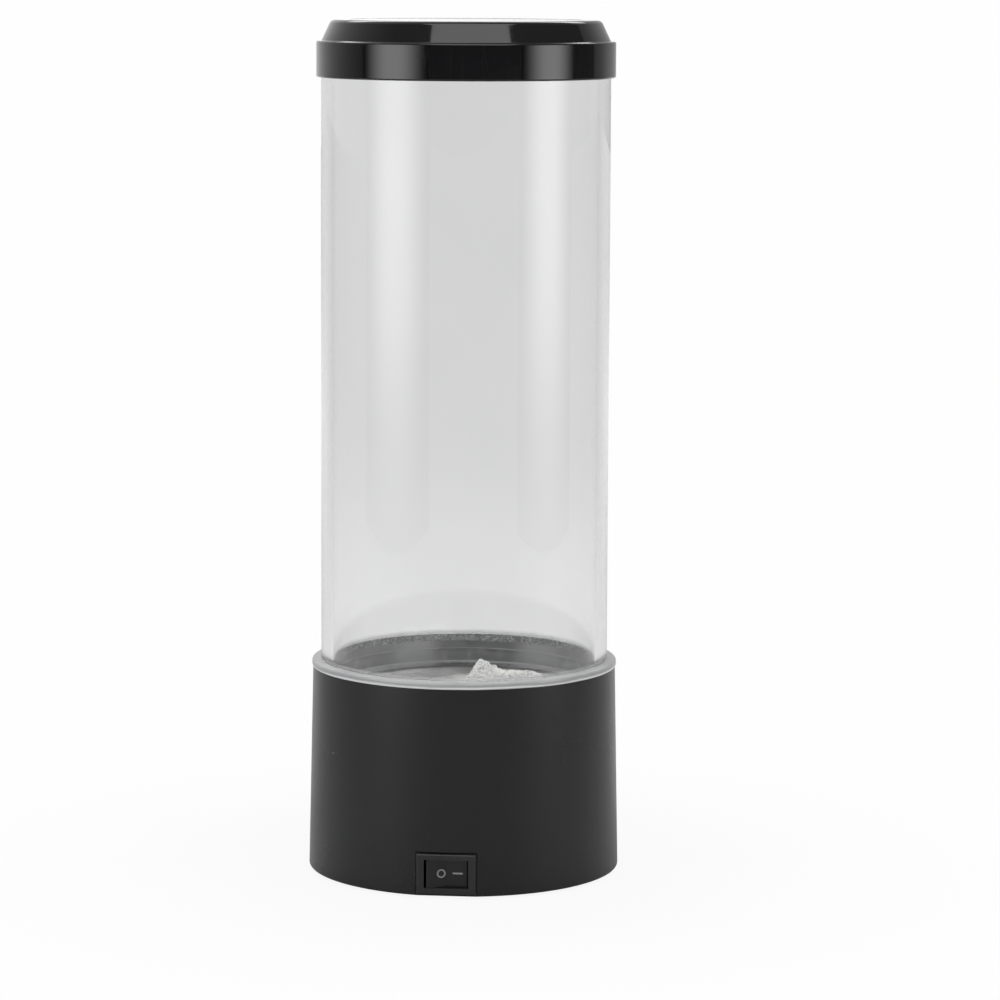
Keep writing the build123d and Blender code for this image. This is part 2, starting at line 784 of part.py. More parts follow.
# Motor: a drawn can with a nose for the upper bush, closed by a moulded end cap
with BuildPart() as motor_can:
    with BuildSketch(Plane.XZ):
        with BuildLine():
            Polyline(
                (motor_radius, motor_bottom_z),
                (motor_radius, motor_top_z),
                (nose_radius, motor_top_z),
                (nose_radius, motor_top_z + motor_nose),
                (bush_radius + press_gap, motor_top_z + motor_nose),
                (bush_radius + press_gap, motor_top_z - can_wall),
                (can_inner_radius, motor_top_z - can_wall),
                (can_inner_radius, motor_bottom_z),
                close=True,
            )
        make_face()
    revolve(axis=Axis.Z)
    with BuildSketch(Plane.XY.offset(motor_top_z)):
        with PolarLocations(motor_screw_ring_radius, 2):
            Circle(motor_screw_radius + press_gap)
    extrude(amount=-can_wall, mode=Mode.SUBTRACT)
save(motor_can, "motor_can")

with BuildPart() as motor_end_cap:
    with BuildSketch(Plane.XZ):
        with BuildLine():
            Polyline(
                (can_inner_radius - press_gap, motor_bottom_z),
                (can_inner_radius - press_gap, motor_bottom_z + end_cap_thickness),
                (bush_radius + press_gap, motor_bottom_z + end_cap_thickness),
                (bush_radius + press_gap, motor_bottom_z - motor_nose),
                (nose_radius, motor_bottom_z - motor_nose),
                (nose_radius, motor_bottom_z),
                close=True,
            )
        make_face()
    revolve(axis=Axis.Z)
save(motor_end_cap, "motor_end_cap")

upper_bush_z = motor_top_z + motor_nose - bush_length
lower_bush_z = motor_bottom_z + end_cap_thickness - bush_length
with BuildPart() as motor_bushes:
    for bush_z in (upper_bush_z, lower_bush_z):
        with BuildSketch(Plane.XY.offset(bush_z)):
            Circle(bush_radius)
            Circle(shaft_radius + shaft_gap, mode=Mode.SUBTRACT)
        extrude(amount=bush_length)
save(motor_bushes, "motor_bushes")

arc_magnet_z = motor_bottom_z + end_cap_thickness + arc_magnet_gap
arc_magnet_length = motor_top_z - can_wall - arc_magnet_gap - arc_magnet_z
with BuildPart() as motor_magnets:
    for middle in (0, 180):
        start = middle - arc_magnet_span / 2
        with BuildSketch(Plane.XY.offset(arc_magnet_z)):
            with BuildLine():
                outer_arc = CenterArc(
                    (0, 0), can_inner_radius - press_gap, start, arc_magnet_span
                )
                inner_arc = CenterArc((0, 0), arc_magnet_inner, start, arc_magnet_span)
                Line(outer_arc @ 0, inner_arc @ 0)
                Line(outer_arc @ 1, inner_arc @ 1)
            make_face()
        extrude(amount=arc_magnet_length)
save(motor_magnets, "motor_magnets")

with BuildPart() as motor_tabs:
    with BuildSketch(Plane.XY.offset(motor_bottom_z)):
        with PolarLocations(motor_tab_ring_radius, 2):
            Rectangle(motor_tab_thickness, motor_tab_width)
    extrude(amount=-motor_tab_length)
save(motor_tabs, "motor_tabs")

with BuildPart() as motor_shaft:
    shaft_bottom_z = lower_bush_z + lift_gap
    shaft_top_z = drive_top_z - lift_gap
    with BuildSketch(Plane.XY.offset(shaft_bottom_z)):
        Circle(shaft_radius)
    extrude(amount=shaft_top_z - shaft_bottom_z)
save(motor_shaft, "motor_shaft")

# Armature: a slotted core and the commutator below it
armature_z = arc_magnet_z + (arc_magnet_length - armature_length) / 2
with BuildPart() as motor_armature:
    with BuildSketch(Plane.XY.offset(armature_z)):
        Circle(armature_radius)
        with PolarLocations(armature_core_radius, fixing_count):
            slot_length = armature_radius - armature_core_radius + overrun
            Rectangle(
                slot_length, armature_slot, align=(Align.MIN, Align.CENTER), mode=Mode.SUBTRACT
            )
    extrude(amount=armature_length)
    with BuildSketch(Plane.XY.offset(armature_z)):
        Circle(commutator_radius)
    extrude(amount=-commutator_length)
    with BuildSketch(Plane.XY.offset(armature_z - commutator_length)):
        Circle(shaft_radius + press_gap)
    extrude(amount=armature_length + commutator_length, mode=Mode.SUBTRACT)
save(motor_armature, "motor_armature")

# Drive disc: carries the magnets that pull the impeller round through the tank's floor
with BuildPart() as drive_disc:
    with BuildSketch(Plane.XY.offset(drive_bottom_z)):
        Circle(drive_disc_radius)
    extrude(amount=drive_disc_thickness)
    with BuildSketch(Plane.XY.offset(drive_top_z)):
        with PolarLocations(magnet_ring_radius, magnet_count, start_angle=pillar_angle):
            Circle(magnet_radius + press_gap)
    extrude(amount=-magnet_length, mode=Mode.SUBTRACT)
    with BuildSketch(Plane.XY.offset(drive_bottom_z)):
        Circle(shaft_radius + press_gap)
    extrude(amount=drive_disc_thickness, mode=Mode.SUBTRACT)
save(drive_disc, "drive_disc")

with BuildPart() as drive_magnets:
    with BuildSketch(Plane.XY.offset(drive_top_z)):
        with PolarLocations(magnet_ring_radius, magnet_count, start_angle=pillar_angle):
            Circle(magnet_radius)
    extrude(amount=-magnet_length)
save(drive_magnets, "drive_magnets")

# Switch housing: the bezel outside the panel, and the box with its two clips inside
with BuildPart() as switch_housing:
    with BuildSketch(Plane.XZ.offset(panel_y)):
        with Locations((0, switch_z)):
            Rectangle(bezel_width, bezel_height)
    extrude(amount=bezel_thickness)
    bezel_front = switch_housing.faces().sort_by(Axis.Y)[0]
    fillet(bezel_front.edges(), bezel_edge)
    with BuildSketch(Plane.XZ.offset(panel_y)):
        with Locations((0, switch_z)):
            Rectangle(switch_body_width, switch_body_height)
    extrude(amount=-switch_body_depth)
    clip_y = -pad_y + seat_gap
    for side in (-1, 1):
        with BuildSketch(Plane.XY.offset(switch_z - clip_width / 2)):
            with BuildLine():
                Polyline(
                    (side * (switch_body_width / 2 - switch_body_wall / 2), clip_y),
                    (side * (switch_body_width / 2 + clip_height), clip_y),
                    (side * (switch_body_width / 2 - switch_body_wall / 2), clip_y + clip_length),
                    close=True,
                )
            make_face()
        extrude(amount=clip_width)
    with BuildSketch(Plane.XZ.offset(panel_y)):
        with Locations((0, switch_z)):
            Rectangle(cavity_width, window_height)
    extrude(amount=-(switch_body_depth - switch_back_wall), mode=Mode.SUBTRACT)
    with BuildSketch(Plane.XZ.offset(panel_y)):
        with Locations((0, switch_z)):
            Rectangle(window_width, window_height)
    extrude(amount=bezel_thickness, mode=Mode.SUBTRACT)
    with BuildSketch(Plane.XY.offset(switch_z)):
        with Locations((0, pivot_y)):
            Circle(trunnion_radius + shaft_gap)
    extrude(amount=switch_body_height / 2, both=True, mode=Mode.SUBTRACT)
    with BuildSketch(Plane.XZ.offset(-switch_back_y)):
        with Locations((0, switch_z), (terminal_x, switch_z)):
            Rectangle(terminal_thickness + 2 * press_gap, terminal_width + 2 * press_gap)
    extrude(amount=switch_back_wall, mode=Mode.SUBTRACT)
save(switch_housing, "switch_housing")

# Rocker, at rest with its bar side pressed in; local Y points into the base
rocker_plane = Plane(
    origin=(0, pivot_y, switch_z),
    x_dir=(cos(radians(rocker_tilt)), sin(radians(rocker_tilt)), 0),
    z_dir=(0, 0, 1),
)
facet_rise = rocker_radius * tan(radians(rocker_tilt))
corner_y = -(rocker_valley + facet_rise)
corner_x = sqrt(rocker_radius**2 - corner_y**2)
skirt_x = sqrt(rocker_radius**2 - rocker_skirt**2)


def facet_outline(depth):
    """Points of the rocker's dished face, let in by depth; the middle is its lowest."""
    return [
        (-corner_x, corner_y + depth),
        (0, -rocker_valley + depth),
        (corner_x, corner_y + depth),
    ]


def mark_outlines():
    """The ring and the bar as seen from the front of the rocker."""
    with Locations((mark_ring_x, 0)):
        Circle(mark_ring_radius)
        Circle(mark_ring_radius - mark_stroke, mode=Mode.SUBTRACT)
    with Locations((mark_bar_x, 0)):
        Rectangle(mark_bar_length, mark_bar_stroke)


mark_plane = Plane(
    origin=rocker_plane.origin,
    x_dir=rocker_plane.x_dir,
    z_dir=-rocker_plane.y_dir,
)
with BuildPart() as rocker_marks:
    with BuildSketch(rocker_plane):
        with BuildLine():
            Polyline(*facet_outline(0), *reversed(facet_outline(mark_depth)), close=True)
        make_face()
    extrude(amount=rocker_height / 2, both=True)
    with BuildSketch(mark_plane):
        mark_outlines()
    extrude(amount=rocker_radius, mode=Mode.INTERSECT)
save(rocker_marks, "rocker_marks")

with BuildPart() as switch_rocker:
    with BuildSketch(rocker_plane) as rocker_profile:
        with BuildLine():
            Polyline(*facet_outline(0))
            ThreePointArc((corner_x, corner_y), (rocker_radius, 0), (skirt_x, rocker_skirt))
            Line((skirt_x, rocker_skirt), (-skirt_x, rocker_skirt))
            ThreePointArc((-skirt_x, rocker_skirt), (-rocker_radius, 0), (-corner_x, corner_y))
        make_face()
        fillet(rocker_profile.vertices().group_by(Axis.Y)[0], rocker_edge)
    extrude(amount=rocker_height / 2, both=True)
    with BuildSketch(rocker_plane):
        Circle(trunnion_radius)
    extrude(amount=window_height / 2 + trunnion_reach, both=True)
    with BuildSketch(rocker_plane):
        Rectangle(stem_width, stem_length, align=(Align.CENTER, Align.MIN))
    extrude(amount=stem_width / 2, both=True)
    stem_end_plane = Plane(
        origin=rocker_plane.origin + rocker_plane.y_dir * stem_length,
        x_dir=rocker_plane.x_dir,
        z_dir=rocker_plane.y_dir,
    )
    bore_depth = stem_length - trunnion_radius
    with BuildSketch(stem_end_plane):
        Circle(plunger_radius + shaft_gap)
    extrude(amount=-bore_depth, mode=Mode.SUBTRACT)
    add(rocker_marks.part, mode=Mode.SUBTRACT)
save(switch_rocker, "switch_rocker")

with BuildPart() as switch_spring:
    with BuildSketch(stem_end_plane.offset(-bore_depth)):
        Circle(plunger_radius)
        Circle(plunger_radius - spring_wall, mode=Mode.SUBTRACT)
    extrude(amount=spring_length)
save(switch_spring, "switch_spring")

with BuildPart() as switch_plunger:
    plunger_start = spring_length - bore_depth
    plunger_body = plunger_reach - stem_length - plunger_radius - plunger_start
    with BuildSketch(stem_end_plane.offset(plunger_start)):
        Circle(plunger_radius)
    extrude(amount=plunger_body)
    with Locations(stem_end_plane.offset(plunger_start + plunger_body).location):
        Sphere(plunger_radius)
save(switch_plunger, "switch_plunger")

# Contact blade: a seesaw on a half-round knuckle, which the plunger tips; at rest it lies on
# the side terminal
blade_plane = Plane(
    origin=(0, blade_y, switch_z),
    x_dir=(cos(radians(blade_tilt)), -sin(radians(blade_tilt)), 0),
    z_dir=(0, 0, 1),
)
with BuildPart() as switch_blade:
    with BuildSketch(blade_plane):
        Circle(blade_knuckle_radius)
        Rectangle(
            2 * blade_knuckle_radius,
            blade_knuckle_radius,
            align=(Align.CENTER, Align.MAX),
            mode=Mode.SUBTRACT,
        )
        Rectangle(2 * blade_half_length, blade_thickness, align=(Align.CENTER, Align.MIN))
    extrude(amount=blade_width / 2, both=True)
save(switch_blade, "switch_blade")

# Terminals: the middle one is the blade's fulcrum, the other its contact
fulcrum_y = blade_y + blade_knuckle_radius + shaft_gap
blade_back_y = blade_y + blade_thickness / cos(radians(blade_tilt)) + shaft_gap
contact_drop = abs(terminal_x) * tan(radians(blade_tilt))
contact_y = blade_back_y + contact_drop + terminal_thickness * tan(radians(blade_tilt))
with BuildPart() as switch_terminals:
    for start_x, start_y in ((0, fulcrum_y), (terminal_x, contact_y)):
        with BuildSketch(Plane.XZ.offset(-terminal_tip_y)):
            with Locations((start_x, switch_z)):
                Rectangle(terminal_thickness, terminal_width)
        extrude(amount=terminal_tip_y - start_y)
save(switch_terminals, "switch_terminals")

# Power inlet: flange and barrel, its nut inside the panel, and the contacts
with BuildPart() as jack_body:
    with BuildSketch(Plane.XZ.offset(-panel_y)):
        with Locations((0, jack_z)):
            Circle(jack_flange_radius)
    extrude(amount=-jack_flange_thickness)
    flange_rim = jack_body.edges().filter_by(GeomType.CIRCLE).sort_by(Axis.Y)[-1]
    fillet(flange_rim, jack_flange_thickness / 3)
    with BuildSketch(Plane.XZ.offset(-jack_tip_y)):
        with Locations((0, jack_z)):
            Circle(jack_barrel_radius)
    extrude(amount=-(panel_y - jack_tip_y))
    with BuildSketch(Plane.XZ.offset(-panel_y - jack_flange_thickness)):
        with Locations((0, jack_z)):
            Circle(jack_bore_radius)
    extrude(amount=jack_bore_depth, mode=Mode.SUBTRACT)
    with BuildSketch(Plane.XZ.offset(-jack_tip_y)):
        with Locations((0, jack_z)):
            Circle(jack_pin_radius + press_gap)
    extrude(amount=-jack_back_wall, mode=Mode.SUBTRACT)
save(jack_body, "jack_body")

with BuildPart() as jack_nut:
    with BuildSketch(Plane.XZ.offset(-pad_y)):
        with Locations((0, jack_z)):
            RegularPolygon(jack_nut_across / 2, 6, major_radius=False)
            Circle(jack_barrel_radius + seat_gap, mode=Mode.SUBTRACT)
    extrude(amount=jack_nut_thickness)
save(jack_nut, "jack_nut")

with BuildPart() as jack_pin:
    with BuildSketch(Plane.XZ.offset(-jack_tip_y)):
        with Locations((0, jack_z)):
            Circle(jack_pin_radius)
    pin_length = panel_y + jack_flange_thickness - jack_pin_inset - jack_tip_y
    extrude(amount=-pin_length)
    pin_nose = jack_pin.edges().sort_by(Axis.Y)[-1]
    fillet(pin_nose, jack_pin_radius / 2)
save(jack_pin, "jack_pin")

with BuildPart() as jack_tabs:
    with BuildSketch(Plane.XZ.offset(-jack_tip_y)):
        with Locations((0, jack_z), (jack_tab_x, jack_z)):
            Rectangle(jack_tab_thickness, jack_tab_width)
    extrude(amount=jack_tab_length)
save(jack_tabs, "jack_tabs")

# Wires: inlet to switch, switch to board, inlet to board, board to motor
wire_z = cover_top_z + wire_floor_gap
supply_wire = wire(
    [
        (0, jack_tab_y, jack_z),
        (0, jack_tab_y - wire_lead, jack_z),
        (wire_side_step, 0, wire_z),
        (0, terminal_tip_y + wire_lead, switch_z),
        (0, terminal_tip_y, switch_z),
    ]
)
save(supply_wire, "supply_wire")

switched_wire = wire(
    [
        (terminal_x, terminal_tip_y, switch_z),
        (terminal_x, terminal_tip_y + wire_lead, switch_z),
        (-wire_up_x, -wire_up_y, wire_z + wire_up_rise),
        (-wire_up_x, -wire_up_y, board_bottom_z),
    ]
)
save(switched_wire, "switched_wire")

ground_wire = wire(
    [
        (jack_tab_x, jack_tab_y, jack_z),
        (jack_tab_x, jack_tab_y - wire_lead, jack_z),
        (-wire_up_x, wire_up_y, jack_z + wire_up_rise),
        (-wire_up_x, wire_up_y, board_bottom_z),
    ]
)
save(ground_wire, "ground_wire")

motor_wire_x = board_inner_radius + 2 * wire_radius
tab_face_x = motor_tab_ring_radius + motor_tab_thickness / 2
tab_wire_z = motor_bottom_z - motor_tab_length + wire_radius
motor_wire_halves = [
    wire(
        [
            (side * tab_face_x, 0, tab_wire_z),
            (side * motor_wire_x, 0, tab_wire_z),
            (side * motor_wire_x, 0, board_bottom_z),
        ]
    )
    for side in (-1, 1)
]
with BuildPart() as motor_wires:
    for half in motor_wire_halves:
        add(half.part)
save(motor_wires, "motor_wires")
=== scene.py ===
import json
import math
import random

import bpy
from mathutils import Euler, Matrix, Vector, noise


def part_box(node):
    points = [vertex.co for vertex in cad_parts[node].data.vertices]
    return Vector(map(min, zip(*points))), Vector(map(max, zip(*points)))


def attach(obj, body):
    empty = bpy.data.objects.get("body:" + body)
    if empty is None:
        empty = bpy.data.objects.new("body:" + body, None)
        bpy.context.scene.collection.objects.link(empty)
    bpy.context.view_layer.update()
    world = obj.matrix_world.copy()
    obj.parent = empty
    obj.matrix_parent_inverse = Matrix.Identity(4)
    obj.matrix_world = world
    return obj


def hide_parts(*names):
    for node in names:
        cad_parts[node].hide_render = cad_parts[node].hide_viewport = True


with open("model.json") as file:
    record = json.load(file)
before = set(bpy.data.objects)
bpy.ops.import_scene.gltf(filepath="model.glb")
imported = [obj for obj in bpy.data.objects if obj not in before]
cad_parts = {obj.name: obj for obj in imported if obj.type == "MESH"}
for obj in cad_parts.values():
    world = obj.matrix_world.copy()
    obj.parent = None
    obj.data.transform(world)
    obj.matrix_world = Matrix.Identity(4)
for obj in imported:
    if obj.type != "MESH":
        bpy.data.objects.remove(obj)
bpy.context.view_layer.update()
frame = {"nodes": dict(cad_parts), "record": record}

# Night light in the shape of a small fish tank. Metres, Z up, the switch faces -Y.
mm = 0.001
nodes = frame["nodes"]
slotOfNode = {part["node"]: part["material_slot"] for part in frame["record"]["subparts"]}
random.seed(7)


# Small helpers

same = 0.01  # mm, closer places count as one


def deselectAll():
    for item in list(bpy.context.selected_objects):
        item.select_set(False)
    bpy.context.view_layer.objects.active = None


def selectOnly(piece):
    deselectAll()
    piece.select_set(True)
    bpy.context.view_layer.objects.active = piece


def nodeBox(name):
    low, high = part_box(name)
    return low / mm, high / mm  # in mm, as the values below are


def editAll():
    # into edit mode with every point selected
    bpy.ops.object.mode_set(mode="EDIT")
    bpy.ops.mesh.select_mode(type="VERT")
    bpy.ops.mesh.select_all(action="SELECT")


def closeMesh():
    # turns every face outwards and leaves edit mode
    bpy.ops.mesh.select_all(action="SELECT")
    bpy.ops.mesh.normals_make_consistent(inside=False)
    bpy.ops.object.mode_set(mode="OBJECT")


def pickVerts(piece, test):
    # in edit mode: selects only the points that pass the test, which reads mm
    bpy.ops.mesh.select_all(action="DESELECT")
    bpy.ops.object.mode_set(mode="OBJECT")
    for point in piece.data.vertices:
        point.select = bool(test(point.co / mm))
    bpy.ops.object.mode_set(mode="EDIT")


def pickEdges(piece, test):
    # the test reads both ends of an edge
    bpy.ops.mesh.select_all(action="DESELECT")
    bpy.ops.object.mode_set(mode="OBJECT")
    points = piece.data.vertices
    for edge in piece.data.edges:
        edge.select = bool(test(*(points[i].co / mm for i in edge.vertices)))
    bpy.ops.object.mode_set(mode="EDIT")


def latheOutline(name, outline, steps, closed=False):
    # a point of the outline is (radius, height) in mm; a rounded corner adds its radius and segments
    deselectAll()
    bpy.ops.mesh.primitive_plane_add(size=mm)
    piece = bpy.context.active_object
    piece.name = piece.data.name = name
    editAll()
    bpy.ops.mesh.merge(type="CENTER")
    bpy.ops.transform.translate(value=(outline[0][0] * mm, 0, outline[0][1] * mm))
    path = list(outline) + ([outline[0]] if closed else [])
    for start, end in zip(path, path[1:]):
        step = ((end[0] - start[0]) * mm, 0, (end[1] - start[1]) * mm)
        bpy.ops.mesh.extrude_vertices_move(TRANSFORM_OT_translate={"value": step})
    bpy.ops.mesh.select_mode(type="VERT")
    bpy.ops.mesh.select_all(action="SELECT")
    bpy.ops.mesh.remove_doubles(threshold=0.001 * mm)
    for radius, height, *corner in outline:
        if corner:
            spot = Vector((radius, 0, height))
            pickVerts(piece, lambda co: (co - spot).length < same)
            bpy.ops.mesh.bevel(offset=corner[0] * mm, affect="VERTICES", segments=corner[1])
    bpy.ops.mesh.select_all(action="SELECT")
    bpy.ops.mesh.spin(steps=steps, angle=math.tau, center=(0, 0, 0), axis=(0, 0, 1))
    bpy.ops.mesh.select_all(action="SELECT")
    bpy.ops.mesh.remove_doubles(threshold=0.002 * mm)
    closeMesh()
    return piece


def cutWith(piece, cutters, operation="DIFFERENCE"):
    # takes each cutter out of the piece, or joins it on, and throws the cutters away
    for cutter in cutters:
        selectOnly(piece)
        cut = piece.modifiers.new("cut", "BOOLEAN")
        cut.operation = operation
        cut.solver = "EXACT"
        cut.object = cutter
        bpy.ops.object.modifier_apply(modifier=cut.name)
        bpy.data.objects.remove(cutter)


def blockCutter(low, high, turn=0.0):
    # a block between two corners, then turned about the Z axis
    deselectAll()
    low, high = Vector(low) * mm, Vector(high) * mm
    middle = Matrix.Rotation(turn, 3, "Z") @ ((low + high) / 2)
    bpy.ops.mesh.primitive_cube_add(size=1, location=middle, rotation=(0, 0, turn), scale=high - low)
    return bpy.context.active_object


def drumCutter(radius, start, end, sides=64):
    # a round cutter from the start point to the end point, along Y or Z
    deselectAll()
    start, end = Vector(start) * mm, Vector(end) * mm
    turn = (end - start).to_track_quat("Z", "Y").to_euler()
    size = {"vertices": sides, "radius": radius * mm, "depth": (end - start).length}
    bpy.ops.mesh.primitive_cylinder_add(location=(start + end) / 2, rotation=turn, **size)
    return bpy.context.active_object


def ringSpots(ring, count, firstAngle=0):
    # angle, x and y of places spread evenly round the Z axis
    for index in range(count):
        angle = math.radians(firstAngle) + math.tau * index / count
        yield angle, ring * math.cos(angle), ring * math.sin(angle)


def finishPiece(piece, material, angle, body, slotName, *replaced):
    # an angle smooths the piece below it; broad faces keep their own normal, which keeps long walls true
    if angle:
        selectOnly(piece)
        bpy.ops.object.shade_smooth_by_angle(angle=math.radians(angle))
        weigh = piece.modifiers.new("weigh", "WEIGHTED_NORMAL")
        weigh.weight = 100
        weigh.keep_sharp = True
        bpy.ops.object.modifier_apply(modifier=weigh.name)
    piece.data.materials.append(material)
    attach(piece, body)
    if replaced:
        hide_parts(*replaced)
    print(piece.name + ":", len(piece.data.polygons), "faces")


# Node helpers for the materials

def setInputs(tree, node, inputs):
    # an input takes a link from a socket, or else a plain value
    for key, value in inputs.items():
        if isinstance(value, bpy.types.NodeSocket):
            tree.links.new(value, node.inputs[key])
        else:
            node.inputs[key].default_value = value


def addNode(tree, kind, inputs=None, **settings):
    node = tree.nodes.new(kind)
    for key, value in settings.items():
        setattr(node, key, value)
    setInputs(tree, node, inputs or {})
    return node


def mathNode(tree, operation, first, second=0.0, clamp=False):
    node = addNode(tree, "ShaderNodeMath", {0: first, 1: second}, operation=operation, use_clamp=clamp)
    return node.outputs[0]


def vectorNode(tree, operation, first, second=(0.0, 0.0, 0.0)):
    node = addNode(tree, "ShaderNodeVectorMath", {0: first, 1: second}, operation=operation)
    return node.outputs["Vector" if operation == "NORMALIZE" else "Value"]


def rangeNode(tree, value, span, result=(0.0, 1.0), smooth=True):
    # the value's span becomes the result's span
    kind = "SMOOTHSTEP" if smooth else "LINEAR"
    inputs = {"Value": value, "From Min": span[0], "From Max": span[1]}
    inputs |= {"To Min": result[0], "To Max": result[1]}
    return addNode(tree, "ShaderNodeMapRange", inputs, interpolation_type=kind).outputs["Result"]


def noiseNode(tree, vector, scale, detail, roughness=0.5, distortion=0.0):
    inputs = {"Vector": vector, "Scale": scale, "Detail": detail, "Roughness": roughness}
    return addNode(tree, "ShaderNodeTexNoise", {**inputs, "Distortion": distortion}).outputs["Fac"]


def cellNode(tree, vector, scale, randomness=1.0, **settings):
    inputs = {"Vector": vector, "Scale": scale, "Randomness": randomness}
    return addNode(tree, "ShaderNodeTexVoronoi", inputs, **settings).outputs


def mixValue(tree, share, first, second):
    return addNode(tree, "ShaderNodeMix", {0: share, 2: first, 3: second}).outputs[0]


def mixColour(tree, share, first, second):
    # a colour is a socket or three plain levels
    first, second = ((*tone, 1) if isinstance(tone, tuple) else tone for tone in (first, second))
    return addNode(tree, "ShaderNodeMix", {0: share, 6: first, 7: second}, data_type="RGBA").outputs[2]


def partsOf(tree, vector):
    return addNode(tree, "ShaderNodeSeparateXYZ", {"Vector": vector}).outputs


def newMaterial(name):
    material = bpy.data.materials.new(name)
    material.use_nodes = True
    tree = material.node_tree
    shader = tree.nodes["Principled BSDF"]
    coords = addNode(tree, "ShaderNodeTexCoord").outputs["Object"]
    return material, tree, shader, coords


def newGroup(name, inputs, outputs):
    group = bpy.data.node_groups.new(name, "ShaderNodeTree")
    for way, names in (("INPUT", inputs), ("OUTPUT", outputs)):
        for socketName in names:
            kind = "NodeSocketVector" if socketName == "Vector" else "NodeSocketFloat"
            group.interface.new_socket(socketName, in_out=way, socket_type=kind)
    start = group.nodes.new("NodeGroupInput")
    end = group.nodes.new("NodeGroupOutput")
    return group, start.outputs, end.inputs


# Effects that several materials share

def makeSurfaceGroup():
    # moulded or drawn surface: uneven sheen, fine texture and slow tone changes
    values = {"patchScale": 38.0, "middle": 0.5, "grainShare": 0.5}
    group, given, wanted = newGroup(
        "mouldedSurface", ("Vector", "Grain Scale", "Roughness", "Spread"), ("Roughness", "Height", "Tone")
    )
    grain = noiseNode(group, given["Vector"], given["Grain Scale"], 3.0, 0.6)
    patches = noiseNode(group, given["Vector"], values["patchScale"], 4.0, 0.55)
    wander = mathNode(group, "SUBTRACT", patches, values["middle"])
    fine = mathNode(group, "SUBTRACT", grain, values["middle"])
    mixed = mathNode(group, "ADD", wander, mathNode(group, "MULTIPLY", fine, values["grainShare"]))
    spread = mathNode(group, "MULTIPLY", mixed, given["Spread"])
    rough = mathNode(group, "ADD", given["Roughness"], spread, clamp=True)
    for socketName, value in (("Roughness", rough), ("Height", grain), ("Tone", patches)):
        group.links.new(value, wanted[socketName])
    return group


def makeSpeckGroup():
    # sparse dust specks of uneven size
    values = {"largest": 0.16}
    group, given, wanted = newGroup("dustSpecks", ("Vector", "Scale", "Share"), ("Mask",))
    cells = cellNode(group, given["Vector"], given["Scale"])
    pick = addNode(group, "ShaderNodeSeparateColor", {"Color": cells["Color"]}).outputs
    chosen = mathNode(group, "LESS_THAN", pick["Red"], given["Share"])
    size = mathNode(group, "MULTIPLY", pick["Green"], values["largest"])
    inside = mathNode(group, "LESS_THAN", cells["Distance"], size)
    group.links.new(mathNode(group, "MULTIPLY", chosen, inside), wanted["Mask"])
    return group


def makeScratchGroup():
    # hair-thin wiping marks, in two directions
    values = {"turns": (0.35, -0.9), "lean": 0.7, "stretch": 0.045, "middle": 0.5, "waver": 0.4}
    group, given, wanted = newGroup("wipeMarks", ("Vector", "Scale", "Share"), ("Mask",))
    directions = []
    for turn in values["turns"]:
        inputs = {
            "Vector": given["Vector"],
            "Rotation": (0.0, turn, turn * values["lean"]),
            "Scale": (1.0, 1.0, values["stretch"]),
        }
        bent = addNode(group, "ShaderNodeMapping", inputs).outputs["Vector"]
        lines = noiseNode(group, bent, given["Scale"], 2.0, distortion=values["waver"])
        off = mathNode(group, "ABSOLUTE", mathNode(group, "SUBTRACT", lines, values["middle"]))
        directions.append(mathNode(group, "LESS_THAN", off, given["Share"]))
    group.links.new(mathNode(group, "MAXIMUM", *directions), wanted["Mask"])
    return group


def makeEdgeGroup():
    # finds convex edges by how far a rounded normal leans from the true one
    values = {"lean": (0.02, 0.3), "patchScale": 420.0, "patchSpan": (0.38, 0.66), "patchLevels": (0.35, 1.0)}
    group, given, wanted = newGroup("wornEdges", ("Vector", "Radius", "Amount"), ("Mask",))
    rounded = addNode(group, "ShaderNodeBevel", {"Radius": given["Radius"]}, samples=4).outputs["Normal"]
    true = addNode(group, "ShaderNodeNewGeometry").outputs["Normal"]
    near = mathNode(group, "SUBTRACT", 1.0, vectorNode(group, "DOT_PRODUCT", rounded, true), clamp=True)
    patches = noiseNode(group, given["Vector"], values["patchScale"], 3.0)
    broken = rangeNode(group, patches, values["patchSpan"], values["patchLevels"])
    mask = mathNode(group, "MULTIPLY", rangeNode(group, near, values["lean"]), broken)
    group.links.new(mathNode(group, "MULTIPLY", mask, given["Amount"]), wanted["Mask"])
    return group


surfaceGroup = makeSurfaceGroup()
speckGroup = makeSpeckGroup()
scratchGroup = makeScratchGroup()
edgeGroup = makeEdgeGroup()
print("shared effects: 4 node groups")


def surfaceOf(tree, coords, grainScale, roughness, spread):
    inputs = {"Vector": coords, "Grain Scale": grainScale, "Roughness": roughness, "Spread": spread}
    return addNode(tree, "ShaderNodeGroup", inputs, node_tree=surfaceGroup).outputs


def maskOf(tree, group, coords, inputs):
    return addNode(tree, "ShaderNodeGroup", {"Vector": coords, **inputs}, node_tree=group).outputs["Mask"]


def addTo(tree, rough, mask, amount):
    # where the mask is, the surface is rougher by the amount
    return mathNode(tree, "ADD", rough, mathNode(tree, "MULTIPLY", mask, amount), clamp=True)


def finishSurface(tree, shader, colour, rough, height, strength, depth):
    setInputs(tree, shader, {"Base Color": colour, "Roughness": rough})
    bump = addNode(tree, "ShaderNodeBump", {"Height": height, "Strength": strength, "Distance": depth})
    setInputs(tree, shader, {"Normal": bump.outputs["Normal"]})


# Materials

